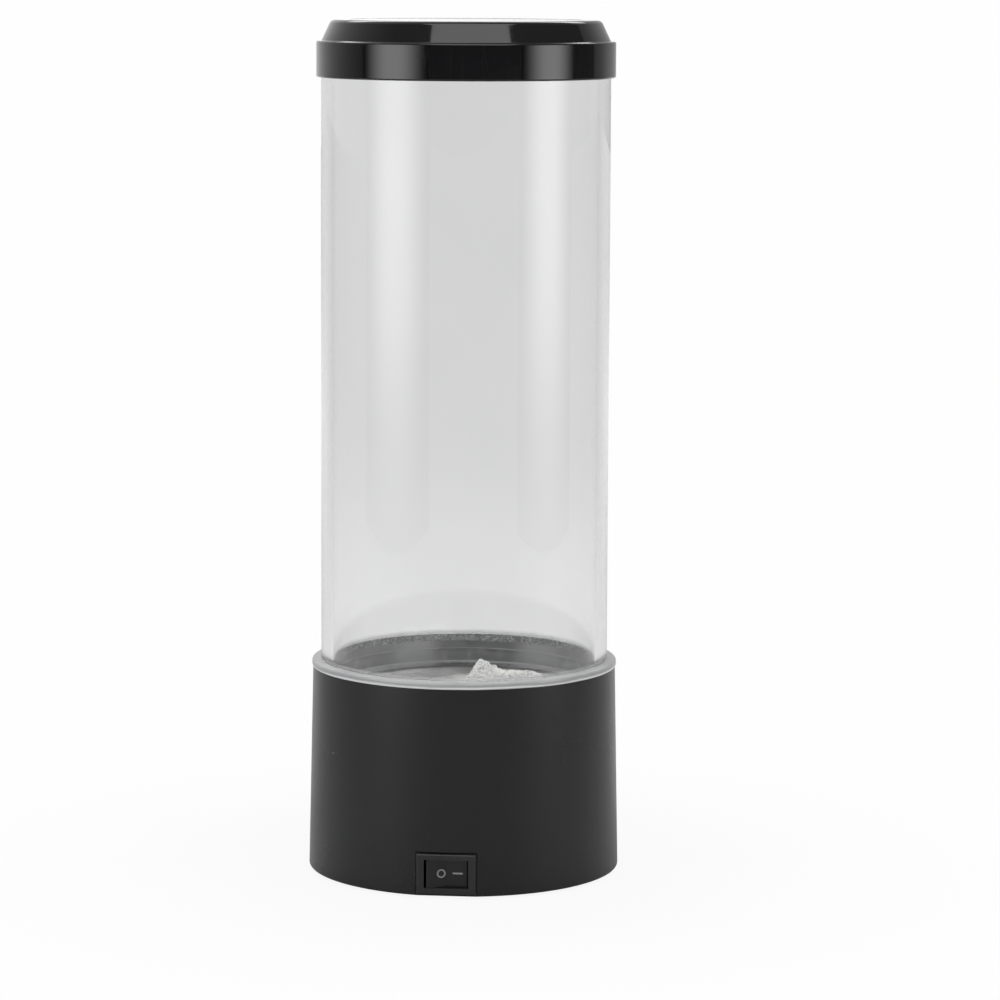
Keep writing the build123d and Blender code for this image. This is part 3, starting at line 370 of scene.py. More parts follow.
blackFinish = {  # shared by the black plastics, which differ in sheen and texture
    "dark": (0.0031, 0.003, 0.0039),
    "light": (0.0048, 0.0046, 0.0057),
    "speckColour": (0.22, 0.22, 0.23),
    "edgeColour": (0.03, 0.03, 0.033),
}
materialValues = {
    "base_plastic": {
        **blackFinish, "roughness": 0.3, "spread": 0.16, "grainScale": 2600.0,
        "bump": 0.22, "bumpDepth": 0.00003, "scratches": 0.006,
        "scratchScale": 300.0, "specks": 0.012, "speckScale": 330.0,
        "edge": 0.5, "edgeRadius": 0.0004, "specular": 0.44,
    },
    "lid_plastic": {
        **blackFinish, "dark": (0.0028, 0.0027, 0.0034), "light": (0.0046, 0.0045, 0.0054),
        "roughness": 0.075, "spread": 0.05, "grainScale": 900.0, "bump": 0.05, "bumpDepth": 0.00002,
        "scratches": 0.007, "scratchScale": 260.0, "specks": 0.003, "speckScale": 420.0,
        "edge": 0.6, "edgeRadius": 0.0003,
    },
    "inner_plastic": {
        **blackFinish, "dark": (0.009, 0.0088, 0.0098), "light": (0.014, 0.0137, 0.0148),
        "roughness": 0.42, "spread": 0.2, "grainScale": 3200.0, "bump": 0.35, "bumpDepth": 0.00004,
        "specks": 0.02, "speckScale": 380.0, "edge": 0.8, "edgeRadius": 0.0003,
    },
    "rocker_plastic": {
        **blackFinish, "roughness": 0.3, "spread": 0.16, "grainScale": 4200.0,
        "bump": 0.4, "bumpDepth": 0.00003, "edge": 0.8,
        "edgeRadius": 0.0003, "scratches": 0.01, "scratchScale": 700.0,
    },
    "mark_paint": {
        "dark": (0.2, 0.2, 0.215), "light": (0.3, 0.3, 0.32),
        "roughness": 0.5, "spread": 0.25, "grainScale": 5200.0, "bump": 0.4, "bumpDepth": 0.00002,
    },
    "impeller_plastic": {
        **blackFinish, "dark": (0.012, 0.012, 0.014), "light": (0.02, 0.02, 0.023),
        "roughness": 0.45, "spread": 0.2, "grainScale": 1800.0, "bump": 0.3, "bumpDepth": 0.00004,
        "edge": 0.7, "edgeRadius": 0.0003,
    },
    "foot_rubber": {
        "dark": (0.008, 0.008, 0.009), "light": (0.016, 0.016, 0.017),
        "roughness": 0.75, "spread": 0.3, "grainScale": 1500.0, "bump": 0.7, "bumpDepth": 0.00008,
        "specks": 0.06, "speckScale": 500.0, "speckColour": (0.12, 0.115, 0.11), "specular": 0.3,
    },
    "magnet": {
        "dark": (0.5, 0.5, 0.52), "light": (0.62, 0.62, 0.64), "metal": 1.0,
        "roughness": 0.2, "spread": 0.15, "grainScale": 1400.0, "bump": 0.1, "bumpDepth": 0.00002,
        "scratches": 0.012, "scratchScale": 900.0,
        "edge": 0.5, "edgeRadius": 0.0002, "edgeColour": (0.75, 0.75, 0.77),
    },
    "steel": {
        "dark": (0.46, 0.47, 0.49), "light": (0.6, 0.61, 0.62), "metal": 1.0,
        "roughness": 0.3, "spread": 0.25, "grainScale": 2200.0, "bump": 0.2, "bumpDepth": 0.00003,
        "scratches": 0.014, "scratchScale": 800.0,
        "edge": 0.5, "edgeRadius": 0.0002, "edgeColour": (0.78, 0.78, 0.8),
    },
    "contact_brass": {
        "dark": (0.5, 0.34, 0.13), "light": (0.72, 0.52, 0.22), "metal": 1.0,
        "roughness": 0.28, "spread": 0.25, "grainScale": 1900.0, "bump": 0.15, "bumpDepth": 0.00002,
        "scratches": 0.012, "scratchScale": 900.0,
    },
    "resistor_body": {
        "dark": (0.01, 0.01, 0.012), "light": (0.03, 0.03, 0.032),
        "roughness": 0.4, "spread": 0.3, "grainScale": 2600.0, "bump": 0.3, "bumpDepth": 0.00002,
    },
    "light_body": {
        "dark": (0.66, 0.64, 0.56), "light": (0.8, 0.78, 0.7),
        "roughness": 0.35, "spread": 0.2, "grainScale": 2400.0, "bump": 0.15, "bumpDepth": 0.00002,
    },
}
wearValues = {  # the same on all of the materials above
    "tone": (0.3, 0.7), "scratchSheen": 0.06, "speckCover": 0.8, "speckSheen": 0.3,
    "specular": 0.5, "ior": 1.5,
}


def solidMaterial(name, values):
    # opaque plastic, rubber or metal with grain, dust, wiping marks and worn edges
    material, tree, shader, coords = newMaterial(name)
    wear = wearValues
    surface = surfaceOf(tree, coords, values["grainScale"], values["roughness"], values["spread"])
    colour = mixColour(tree, rangeNode(tree, surface["Tone"], wear["tone"]), values["dark"], values["light"])
    rough = surface["Roughness"]
    if "scratches" in values:
        inputs = {"Scale": values["scratchScale"], "Share": values["scratches"]}
        rough = addTo(tree, rough, maskOf(tree, scratchGroup, coords, inputs), wear["scratchSheen"])
    if "edge" in values:
        inputs = {"Radius": values["edgeRadius"], "Amount": values["edge"]}
        colour = mixColour(tree, maskOf(tree, edgeGroup, coords, inputs), colour, values["edgeColour"])
    if "specks" in values:
        specks = maskOf(tree, speckGroup, coords, {"Scale": values["speckScale"], "Share": values["specks"]})
        cover = mathNode(tree, "MULTIPLY", specks, wear["speckCover"])
        colour = mixColour(tree, cover, colour, values["speckColour"])
        rough = addTo(tree, rough, specks, wear["speckSheen"])
    finishSurface(tree, shader, colour, rough, surface["Height"], values["bump"], values["bumpDepth"])
    setInputs(tree, shader, {"Metallic": values.get("metal", 0.0), "IOR": wear["ior"]})
    setInputs(tree, shader, {"Specular IOR Level": values.get("specular", wear["specular"])})
    return material


def boardMaterial():
    # white solder mask with tracks under it and bare pads
    values = {
        "mask": (0.55, 0.56, 0.53),
        "track": (0.44, 0.47, 0.43),
        "trackScale": 210.0,
        "trackShape": 0.55,
        "trackEdge": (0.03, 0.09),
    }
    material, tree, shader, coords = newMaterial("board")
    cells = cellNode(tree, coords, values["trackScale"], values["trackShape"], feature="DISTANCE_TO_EDGE")
    onTrack = rangeNode(tree, cells["Distance"], values["trackEdge"], (1.0, 0.0))
    surface = surfaceOf(tree, coords, 1600.0, 0.4, 0.2)
    colour = mixColour(tree, onTrack, values["mask"], values["track"])
    finishSurface(tree, shader, colour, surface["Roughness"], onTrack, 0.5, 0.00004)
    return material


def armatureMaterial():
    # thin steel plates stacked along the shaft
    values = {"plate": (0.32, 0.3, 0.29), "seam": (0.12, 0.07, 0.045), "plates": 2200.0, "waver": 0.3}
    material, tree, shader, coords = newMaterial("armatureSteel")
    inputs = {"Vector": coords, "Scale": values["plates"], "Distortion": values["waver"]}
    stack = addNode(tree, "ShaderNodeTexWave", inputs, bands_direction="Z").outputs["Fac"]
    surface = surfaceOf(tree, coords, 1800.0, 0.4, 0.25)
    colour = mixColour(tree, stack, values["seam"], values["plate"])
    finishSurface(tree, shader, colour, surface["Roughness"], stack, 0.4, 0.00003)
    shader.inputs["Metallic"].default_value = 1.0
    return material


def wireMaterial(name, dark, light):
    # soft sleeve with a faint ripple from the die
    material, tree, shader, coords = newMaterial(name)
    surface = surfaceOf(tree, coords, 2000.0, 0.38, 0.2)
    colour = mixColour(tree, rangeNode(tree, surface["Tone"], wearValues["tone"]), dark, light)
    finishSurface(tree, shader, colour, surface["Roughness"], surface["Height"], 0.2, 0.00003)
    return material


def clearMaterial():
    # clear moulded plastic: a slow ripple, faint haze, wiping marks and dust
    values = {
        "ior": 1.49,
        "grainScale": 700.0,
        "roughness": 0.012,
        "spread": 0.02,
        "tint": (0.982, 0.985, 0.984),
        "clear": (0.996, 0.998, 0.997),
        "scratches": 0.004,
        "scratchScale": 160.0,
        "markRoughness": 0.05,
        "specks": 0.006,
        "speckScale": 300.0,
        "speckColour": (0.6, 0.6, 0.58),
        "speckCover": 0.7,
        "ripple": 0.05,
        "rippleScale": 30.0,
        "rippleStretch": 0.25,
        "rippleDepth": 0.0005,
    }
    material, tree, shader, coords = newMaterial("clearPlastic")
    shader.inputs["Transmission Weight"].default_value = 1.0
    shader.inputs["IOR"].default_value = values["ior"]
    surface = surfaceOf(tree, coords, values["grainScale"], values["roughness"], values["spread"])
    inputs = {"Scale": values["scratchScale"], "Share": values["scratches"]}
    marks = maskOf(tree, scratchGroup, coords, inputs)
    specks = maskOf(tree, speckGroup, coords, {"Scale": values["speckScale"], "Share": values["specks"]})
    rough = addTo(tree, surface["Roughness"], marks, values["markRoughness"])
    haze = rangeNode(tree, surface["Tone"], wearValues["tone"])
    colour = mixColour(tree, haze, values["tint"], values["clear"])
    colour = mixColour(
        tree, mathNode(tree, "MULTIPLY", specks, values["speckCover"]), colour, values["speckColour"]
    )
    inputs = {"Vector": coords, "Scale": (1.0, 1.0, values["rippleStretch"])}
    stretched = addNode(tree, "ShaderNodeMapping", inputs).outputs["Vector"]
    ripple = noiseNode(tree, stretched, values["rippleScale"], 1.0)
    finishSurface(tree, shader, colour, rough, ripple, values["ripple"], values["rippleDepth"])
    return material


# Sealant and adhesive between the tank and the base. Their heights are in metres, as the coordinates are

# paler bands on each side: painted reflection of the side panels
sideReflectionValues = {"rise": (0.008, 0.016), "fall": (0.019, 0.026), "beyond": 0.55}


def paintedSideReflection(tree, across, most):
    # where the sealant against the tank is paler: a band on each side of the middle, a painted reflection of
    # the side panels
    away = mathNode(tree, "ABSOLUTE", across)
    rise = rangeNode(tree, away, sideReflectionValues["rise"], (0.0, most))
    fall = rangeNode(tree, away, sideReflectionValues["fall"], (1.0, sideReflectionValues["beyond"]))
    return mathNode(tree, "MULTIPLY", rise, fall)


def wavyHeight(tree, coords, scale, detail, amount):
    # height that wanders a little, as a line drawn by hand does
    parts = partsOf(tree, coords)
    sweep = noiseNode(tree, coords, scale, detail)
    drift = mathNode(tree, "MULTIPLY", mathNode(tree, "SUBTRACT", sweep, 0.5), amount)
    return mathNode(tree, "ADD", parts["Z"], drift), sweep, parts


def nearLevel(tree, height, level, reach, strength):
    off = mathNode(tree, "ABSOLUTE", mathNode(tree, "SUBTRACT", height, level))
    return rangeNode(tree, off, (0.0, reach), (strength, 0.0))


def siliconeMaterial():
    # cloudy sealant: even outside with a painted highlight line low on its side and a darker line above it,
    # full of bubbles against the tank
    values = {
        "cloudy": (0.33, 0.332, 0.338),
        "pale": (0.4, 0.402, 0.405),
        "tone": (0.35, 0.65),
        "lines": (  # height, reach, strength, colour
            # the first line is a painted highlight along the lower edge of the bead's side; the second is a
            # darker line above it
            (0.05335, 0.0004, 0.9, (0.74, 0.74, 0.74)),
            (0.054, 0.00022, 0.75, (0.25, 0.25, 0.255)),
        ),
        "bubbleDark": (0.12, 0.12, 0.127),
        "bubblePale": (0.52, 0.52, 0.525),
        "bubbleScale": 1300.0,
        "bubbleSquash": 2.2,
        "bubbleSpan": (0.44, 0.6),
        "fill": (0.075, 0.074, 0.082),
        "fillPale": (0.11, 0.11, 0.116),
        "fillSpan": (0.4, 0.65),
        "fillSideReflection": (0.46, 0.46, 0.466),
        "fillTop": (0.0528, 0.0534),
        "sideReflectionMost": 0.85,
        "wallRadius": 0.037,
    }
    material, tree, shader, coords = newMaterial("silicone")
    surface = surfaceOf(tree, coords, 500.0, 0.34, 0.2)
    tone = rangeNode(tree, surface["Tone"], values["tone"])
    colour = mixColour(tree, tone, values["cloudy"], values["pale"])
    height, sweep, parts = wavyHeight(tree, coords, 80.0, 3.0, 0.0008)
    # paints the highlight line and the darker line onto the sealant
    for level, reach, strength, lineColour in values["lines"]:
        colour = mixColour(tree, nearLevel(tree, height, level, reach, strength), colour, lineColour)
    flat = addNode(tree, "ShaderNodeCombineXYZ", {"X": parts["X"], "Y": parts["Y"]}).outputs[0]
    atWall = mathNode(tree, "LESS_THAN", vectorNode(tree, "LENGTH", flat), values["wallRadius"])
    inputs = {"Vector": coords, "Scale": (1.0, 1.0, values["bubbleSquash"])}
    squeezed = addNode(tree, "ShaderNodeMapping", inputs).outputs["Vector"]
    bubbles = noiseNode(tree, squeezed, values["bubbleScale"], 4.0, 0.75)
    bubbles = rangeNode(tree, bubbles, values["bubbleSpan"])
    pocked = mixColour(tree, bubbles, values["bubbleDark"], values["bubblePale"])
    filling = mixColour(tree, rangeNode(tree, sweep, values["fillSpan"]), values["fill"], values["fillPale"])
    # the sealant in the groove is paler in the side bands: painted reflection of the side panels
    filling = mixColour(tree, paintedSideReflection(tree, parts["X"], values["sideReflectionMost"]), filling, values["fillSideReflection"])
    pocked = mixColour(tree, rangeNode(tree, height, values["fillTop"]), filling, pocked)
    colour = mixColour(tree, atWall, colour, pocked)
    finishSurface(tree, shader, colour, surface["Roughness"], surface["Height"], 0.25, 0.0001)
    return material


def smearMaterial():
    # sealant wiped up the glass, thinner the higher it reaches
    values = {"cloudy": (0.7, 0.702, 0.71), "span": (0.05485, 0.0565), "most": 0.42}
    material, tree, shader, coords = newMaterial("beadSmear")
    height = wavyHeight(tree, coords, 110.0, 4.0, 0.0007)[0]
    cover = rangeNode(tree, height, values["span"], (values["most"], 0.0))
    surface = surfaceOf(tree, coords, 700.0, 0.45, 0.2)
    inputs = {"Alpha": cover, "Roughness": surface["Roughness"], "Base Color": (*values["cloudy"], 1)}
    setInputs(tree, shader, inputs)
    return material


def glueAndPaintedLightMaterial():
    # cured adhesive seen through the tank's wall, its grey partly painted light of the lit recess wall;
    # darker towards the top, with paler side bands of painted reflection and two painted highlight lines
    values = {
        "full": (0.1, 0.1, 0.108),
        "thin": (0.03, 0.03, 0.034),
        "fullTop": (0.0497, 0.0506),
        # paler colour of the side bands: painted reflection of the side panels
        "side": (0.5, 0.5, 0.506),
        "sideReflectionMost": 0.75,
        # colour of the paler patches and of the two painted highlight lines
        "ring": (0.52, 0.52, 0.53),
        "highlightLineHeights": (0.0512, 0.0471),
        "highlightLineReach": 0.0003,
        "highlightLineMost": 0.9,
        "patchScale": 260.0,
        "patchSpan": (0.45, 0.75),
        "patchMost": 0.35,
    }
    material, tree, shader, coords = newMaterial("glueAndPaintedLight")
    height, sweep, parts = wavyHeight(tree, coords, 90.0, 3.0, 0.0009)
    fullness = rangeNode(tree, height, values["fullTop"], (1.0, 0.0))
    colour = mixColour(tree, fullness, values["thin"], values["full"])
    # paler in the side bands: painted reflection of the side panels
    colour = mixColour(tree, paintedSideReflection(tree, parts["X"], values["sideReflectionMost"]), colour, values["side"])
    patches = noiseNode(tree, coords, values["patchScale"], 4.0)
    patched = rangeNode(tree, patches, values["patchSpan"], (0.0, values["patchMost"]))
    colour = mixColour(tree, patched, colour, values["ring"])
    # two painted highlight lines round the film
    for level in values["highlightLineHeights"]:
        ring = nearLevel(tree, height, level, values["highlightLineReach"], values["highlightLineMost"])
        colour = mixColour(tree, ring, colour, values["ring"])
    surface = surfaceOf(tree, coords, 900.0, 0.4, 0.3)
    finishSurface(tree, shader, colour, surface["Roughness"], patches, 0.4, 0.0001)
    return material


# What lies on the tank's floor, and the gel in the lights

def dustMaterial():
    # a broken veil of white dust, thicker in patches round the heap
    values = {
        "dust": (0.6, 0.6, 0.58),
        "shade": (0.46, 0.46, 0.46),
        "patches": (  # x, y, reach, cover
            (0.016, 0.027, 0.019, 0.85),
            (-0.021, 0.027, 0.021, 0.62),
            (0.0, 0.013, 0.012, 0.8),
        ),
        "core": 0.002,
        "least": 0.12,
        "cloudScale": 120.0,
        "cloudSpan": (0.3, 0.65),
        "cloudLevels": (0.4, 1.25),
        "specks": {"Scale": 1400.0, "Share": 0.25},
        "speckCover": 0.8,
        "roughness": 0.9,
    }
    material, tree, shader, coords = newMaterial("floorDust")
    parts = partsOf(tree, coords)
    flat = addNode(tree, "ShaderNodeCombineXYZ", {"X": parts["X"], "Y": parts["Y"]}).outputs[0]
    veil = values["least"]
    for middleX, middleY, reach, most in values["patches"]:
        away = vectorNode(tree, "DISTANCE", flat, (middleX, middleY, 0.0))
        patch = rangeNode(tree, away, (values["core"], reach), (most, values["least"]))
        veil = mathNode(tree, "MAXIMUM", patch, veil)
    clouds = noiseNode(tree, coords, values["cloudScale"], 6.0, 0.7)
    broken = rangeNode(tree, clouds, values["cloudSpan"], values["cloudLevels"])
    cover = mathNode(tree, "MULTIPLY", veil, broken, clamp=True)
    specks = maskOf(tree, speckGroup, coords, values["specks"])
    cover = mathNode(tree, "MAXIMUM", cover, mathNode(tree, "MULTIPLY", specks, values["speckCover"]))
    setInputs(tree, shader, {"Alpha": cover})
    colour = mixColour(tree, clouds, values["shade"], values["dust"])
    finishSurface(tree, shader, colour, values["roughness"], clouds, 0.3, 0.0001)
    return material


def grainMaterial():
    # white quartz grains, some of them glassier or yellower
    values = {
        "white": (0.79, 0.79, 0.78),
        "grey": (0.48, 0.49, 0.48),
        "warm": (0.7, 0.67, 0.58),
        "size": 1300.0,
        "greySpan": (0.55, 1.0),
        "greyMost": 0.8,
        "warmSpan": (0.75, 1.0),
        "warmMost": 0.4,
        "roughness": (0.25, 0.7),
    }
    material, tree, shader, coords = newMaterial("whiteStone")
    cells = cellNode(tree, coords, values["size"])
    pick = addNode(tree, "ShaderNodeSeparateColor", {"Color": cells["Color"]}).outputs
    greyShare = rangeNode(tree, pick["Red"], values["greySpan"], (0.0, values["greyMost"]))
    warmShare = rangeNode(tree, pick["Green"], values["warmSpan"], (0.0, values["warmMost"]))
    colour = mixColour(tree, greyShare, values["white"], values["grey"])
    colour = mixColour(tree, warmShare, colour, values["warm"])
    rough = rangeNode(tree, pick["Blue"], (0.0, 1.0), values["roughness"])
    surface = surfaceOf(tree, coords, 3500.0, 0.5, 0.2)
    finishSurface(tree, shader, colour, rough, surface["Height"], 0.4, 0.00005)
    return material


def phosphorMaterial():
    # yellow gel over the light chip, paler in patches
    values = {"gel": (0.78, 0.6, 0.1), "pale": (0.85, 0.76, 0.4), "span": (0.35, 0.65)}
    material, tree, shader, coords = newMaterial("phosphor")
    surface = surfaceOf(tree, coords, 2600.0, 0.18, 0.1)
    patches = rangeNode(tree, surface["Height"], values["span"])
    colour = mixColour(tree, patches, values["gel"], values["pale"])
    setInputs(tree, shader, {"Base Color": colour, "Roughness": surface["Roughness"]})
    return material


materials = {slotName: solidMaterial(slotName, values) for slotName, values in materialValues.items()}
materials["board"] = boardMaterial()
materials["armature_steel"] = armatureMaterial()
materials["red_wire"] = wireMaterial("redSleeve", (0.28, 0.012, 0.01), (0.4, 0.022, 0.018))
materials["black_wire"] = wireMaterial("blackSleeve", (0.008, 0.008, 0.009), (0.018, 0.018, 0.02))
materials["clear_plastic"] = clearMaterial()
materials["silicone"] = siliconeMaterial()
materials["white_stone"] = grainMaterial()
for nodeName, node in nodes.items():
    for index in range(len(node.material_slots)):
        node.material_slots[index].material = materials[slotOfNode[nodeName]]
print("materials:", len(materials), "on", len(nodes), "nodes")


# Clear tank, one moulding with a well for the impeller

tankValues = {
    "wall": 3.0, "floor": 3.0, "lip": 0.5, "floorCorner": 1.8, "smallCorner": 0.3, "seatCorner": 0.15,
    "wellInner": 13.6, "wellOuter": 15.1, "wellFloor": 1.4, "guardGap": 0.15, "guardDepth": 1.6, "steps": 224,
}
tankLow, tankHigh = nodeBox("tank")
guardHigh = nodeBox("impeller_guard")[1]
tankOuter = tankHigh.x
tankInner = tankOuter - tankValues["wall"]
tankTop = tankHigh.z
floorZ = guardHigh.z  # the guard lies flush with the floor
footZ = floorZ - tankValues["floor"]
wellZ = tankLow.z + tankValues["wellFloor"]
guardSeat = guardHigh.x + tankValues["guardGap"]
guardBottom = floorZ - tankValues["guardDepth"]
small = (tankValues["smallCorner"], 3)
clearTank = latheOutline(
    "clearTank",
    [
        (0, tankLow.z),
        (tankValues["wellOuter"], tankLow.z, *small),
        (tankValues["wellOuter"], footZ, *small),
        (tankOuter, footZ, *small),
        (tankOuter, tankTop, tankValues["lip"], 5),
        (tankInner, tankTop, tankValues["lip"], 5),
        (tankInner, floorZ, tankValues["floorCorner"], 14),
        (guardSeat, floorZ, tankValues["seatCorner"], 2),
        (guardSeat, guardBottom),
        (tankValues["wellInner"], guardBottom, tankValues["seatCorner"], 2),
        (tankValues["wellInner"], wellZ, *small),
        (0, wellZ),
    ],
    tankValues["steps"],
)
finishPiece(clearTank, materials["clear_plastic"], 35, "lamp", "clear_plastic", "tank")


# Lid: band, ledge, cone and a shallow dish on top; below, a skirt with a groove for the seal ring

lidValues = {
    "bandHeight": 9.2, "bandEdge": 0.55, "bandFootEdge": 0.5, "ledge": 1.3, "ledgeCorner": 0.25,
    "coneHeight": 5.3, "coneInset": 2.5, "topEdge": 1.0, "capThickness": 2.6, "ceilingCorner": 0.6,
    "dishMargin": 4.6, "dishDepth": 0.05, "dishEdge": 0.02,
    "recessGap": 0.15, "recessEdge": 0.2, "skirtGap": 0.3, "skirtWall": 2.2, "skirtLength": 5.9,
    "skirtInnerEdge": 0.3, "skirtOuterEdge": 0.4, "ringThickness": 1.6, "ringSqueeze": 0.04, "ringGap": 0.02,
    "steps": 224,
}
lidHigh = nodeBox("lid_cap")[1]
sealLow, sealHigh = nodeBox("lid_seal_ring")
bandTop = lidHigh.z - lidValues["coneHeight"]
bandBottom = bandTop - lidValues["bandHeight"]
coneFoot = lidHigh.x - lidValues["ledge"]
coneTop = coneFoot - lidValues["coneInset"]
dishRadius = coneTop - lidValues["dishMargin"]
dishZ = lidHigh.z - lidValues["dishDepth"]
ceilingZ = dishZ - lidValues["capThickness"]
recess = tankOuter + lidValues["recessGap"]
skirtRadius = tankInner - lidValues["skirtGap"]
skirtInner = skirtRadius - lidValues["skirtWall"]
skirtBottom = tankTop - lidValues["skirtLength"]
grooveRadius = sealHigh.x - lidValues["ringThickness"] + lidValues["ringSqueeze"]
grooveLow = sealLow.z - lidValues["ringGap"]
grooveHigh = sealHigh.z + lidValues["ringGap"]
lidShell = latheOutline(
    "lidShell",
    [
        (lidHigh.x, bandBottom, lidValues["bandFootEdge"], 4),
        (lidHigh.x, bandTop, lidValues["bandEdge"], 6),
        (coneFoot, bandTop, lidValues["ledgeCorner"], 4),
        (coneTop, lidHigh.z, lidValues["topEdge"], 8),
        (dishRadius, lidHigh.z, lidValues["dishEdge"], 4),
        (dishRadius - lidValues["dishDepth"], dishZ, lidValues["dishEdge"], 4),
        (0, dishZ),
        (0, ceilingZ),
        (skirtInner, ceilingZ, lidValues["ceilingCorner"], 4),
        (skirtInner, skirtBottom, lidValues["skirtInnerEdge"], 3),
        (skirtRadius, skirtBottom, lidValues["skirtOuterEdge"], 3),
        (skirtRadius, grooveLow),
        (grooveRadius, grooveLow),
        (grooveRadius, grooveHigh),
        (skirtRadius, grooveHigh),
        (skirtRadius, tankTop),
        (recess, tankTop),
        (recess, bandBottom, lidValues["recessEdge"], 2),
    ],
    lidValues["steps"],
    closed=True,
)
finishPiece(lidShell, materials["lid_plastic"], 32, "lid", "lid_plastic", "lid_cap")


# Base shell: tapered skirt with its rim, deck, switch pocket and inlet seat

shellValues = {
    "rimWall": 1.45, "rimEdge": 0.2, "groove": 0.5, "grooveDepth": 1.8, "wall": 2.2, "footEdge": 0.8,
    "wallFootEdge": 0.2, "deck": 2.0, "deckCorner": 1.0, "deckEdge": 0.2, "deckGap": 0.3, "guideZ": 13.2,
    "panelY": 38.6, "padThickness": 2.0, "padRise": 1.7, "padSunk": 0.4, "beyond": 45,
    "pocketMargin": 0.4, "pocketEdge": 0.22, "pocketReach": 0.12, "pocketFoot": 0.9,
    "bodyHalf": 6.65, "bodyRise": 4.175, "jackHole": 4.15, "cutDepth": (33, 42),
    "windowRadius": 3.2, "windowRing": 23.5, "windows": 6,
    "pillarRadius": 3.0, "pillarInset": 4.4, "pillarRib": 1.6, "pillarFoot": 4.6, "pillarHole": 1.35,
    "postRadius": 2.5, "postHole": 0.95, "bossRadius": 3.0, "bossHole": 1.25, "holeDepth": 8.0,
    "root": 0.6, "over": 1.0, "steps": 256,
}
shellLow, shellHigh = nodeBox("base_shell")
bezelLow, bezelHigh = nodeBox("switch_housing")
jackLow, jackHigh = nodeBox("jack_body")
boardTop = nodeBox("light_board")[1].z
bracketTop = nodeBox("motor_bracket")[1].z
rimZ = shellHigh.z
footRadius = shellHigh.x
grooveOuter = recess + shellValues["groove"]
grooveFloor = rimZ - shellValues["grooveDepth"]
rimRadius = grooveOuter + shellValues["rimWall"]
deckBottom = footZ - shellValues["deck"]
deckHole = tankValues["wellOuter"] + shellValues["deckGap"]


def wallRadius(z):
    return footRadius + (rimRadius - footRadius) * (z - shellLow.z) / (rimZ - shellLow.z)


baseShell = latheOutline(
    "baseShell",
    [
        (footRadius, shellLow.z, shellValues["footEdge"], 6),
        (wallRadius(shellValues["guideZ"]), shellValues["guideZ"]),
        (rimRadius, rimZ, shellValues["rimEdge"], 6),
        (grooveOuter, rimZ),
        (grooveOuter, grooveFloor),
        (recess, grooveFloor),
        (recess, footZ),
        (deckHole, footZ, shellValues["deckEdge"], 2),
        (deckHole, deckBottom),
        (wallRadius(deckBottom) - shellValues["wall"], deckBottom, shellValues["deckCorner"], 4),
        (footRadius - shellValues["wall"], shellLow.z, shellValues["wallFootEdge"], 2),
    ],
    shellValues["steps"],
    closed=True,
)

# flat pads inside the wall carry the switch and the inlet
panelY = shellValues["panelY"]
pad = shellValues["padThickness"]
padFoot = shellLow.z + shellValues["padRise"]
padFace = panelY - shellValues["padSunk"]
jackZ = (jackLow.z + jackHigh.z) / 2
jackRadius = (jackHigh.z - jackLow.z) / 2
switchSide, jackSide = bezelHigh.x + pad, jackRadius + pad
added = [
    blockCutter((-switchSide, -padFace, padFoot), (switchSide, pad - panelY, bezelHigh.z + pad)),
    blockCutter((-jackSide, panelY - pad, padFoot), (jackSide, padFace, jackZ + jackSide)),
]

# pillars for the cover's screws have ribs to the wall; posts hold the light board, bosses the motor bracket
holes = []
pillarRing = footRadius - shellValues["wall"] - shellValues["pillarInset"]
boardRing = shellValues["windowRing"]
supports = (  # kind, ring, count, first angle, foot, depth of the hole
    ("pillar", pillarRing, 4, 45, shellLow.z + shellValues["pillarFoot"], shellValues["holeDepth"]),
    ("post", boardRing, 3, 90, boardTop, deckBottom - boardTop),
    ("boss", boardRing, 3, 30, bracketTop, shellValues["holeDepth"]),
)
top = deckBottom + shellValues["root"]
for kind, ring, count, firstAngle, foot, depth in supports:
    for angle, x, y in ringSpots(ring, count, firstAngle):
        added.append(drumCutter(shellValues[kind + "Radius"], (x, y, foot), (x, y, top)))
        start, end = (x, y, foot - shellValues["over"]), (x, y, foot + depth)
        holes.append(drumCutter(shellValues[kind + "Hole"], start, end, 24))
        if kind == "pillar":
            halfRib = shellValues["pillarRib"] / 2
            ribEnd = rimRadius - shellValues["wall"] / 2
            added.append(blockCutter((ring, -halfRib, foot), (ribEnd, halfRib, top), angle))
cutWith(baseShell, added, "UNION")

# pocket and window of the switch, seat and hole of the inlet, screw holes, windows of the lights
halfPocket = bezelHigh.x + shellValues["pocketMargin"]
pocketTop = bezelHigh.z + shellValues["pocketMargin"]
bodyZ = (bezelLow.z + bezelHigh.z) / 2
halfBody, rise = shellValues["bodyHalf"], shellValues["bodyRise"]
inside, outside = shellValues["cutDepth"]
far, over = shellValues["beyond"], shellValues["over"]
cutters = [
    blockCutter((-halfPocket, -far, -over), (halfPocket, -panelY, pocketTop)),
    blockCutter((-halfBody, -outside, bodyZ - rise), (halfBody, -inside, bodyZ + rise)),
    drumCutter(jackRadius + shellValues["pocketMargin"], (0, panelY, jackZ), (0, far, jackZ)),
    drumCutter(shellValues["jackHole"], (0, inside, jackZ), (0, outside, jackZ)),
    *holes,
]
for angle, x, y in ringSpots(boardRing, shellValues["windows"]):
    start, end = (x, y, deckBottom - over), (x, y, footZ + over)
    cutters.append(drumCutter(shellValues["windowRadius"], start, end, 48))
cutWith(baseShell, cutters)


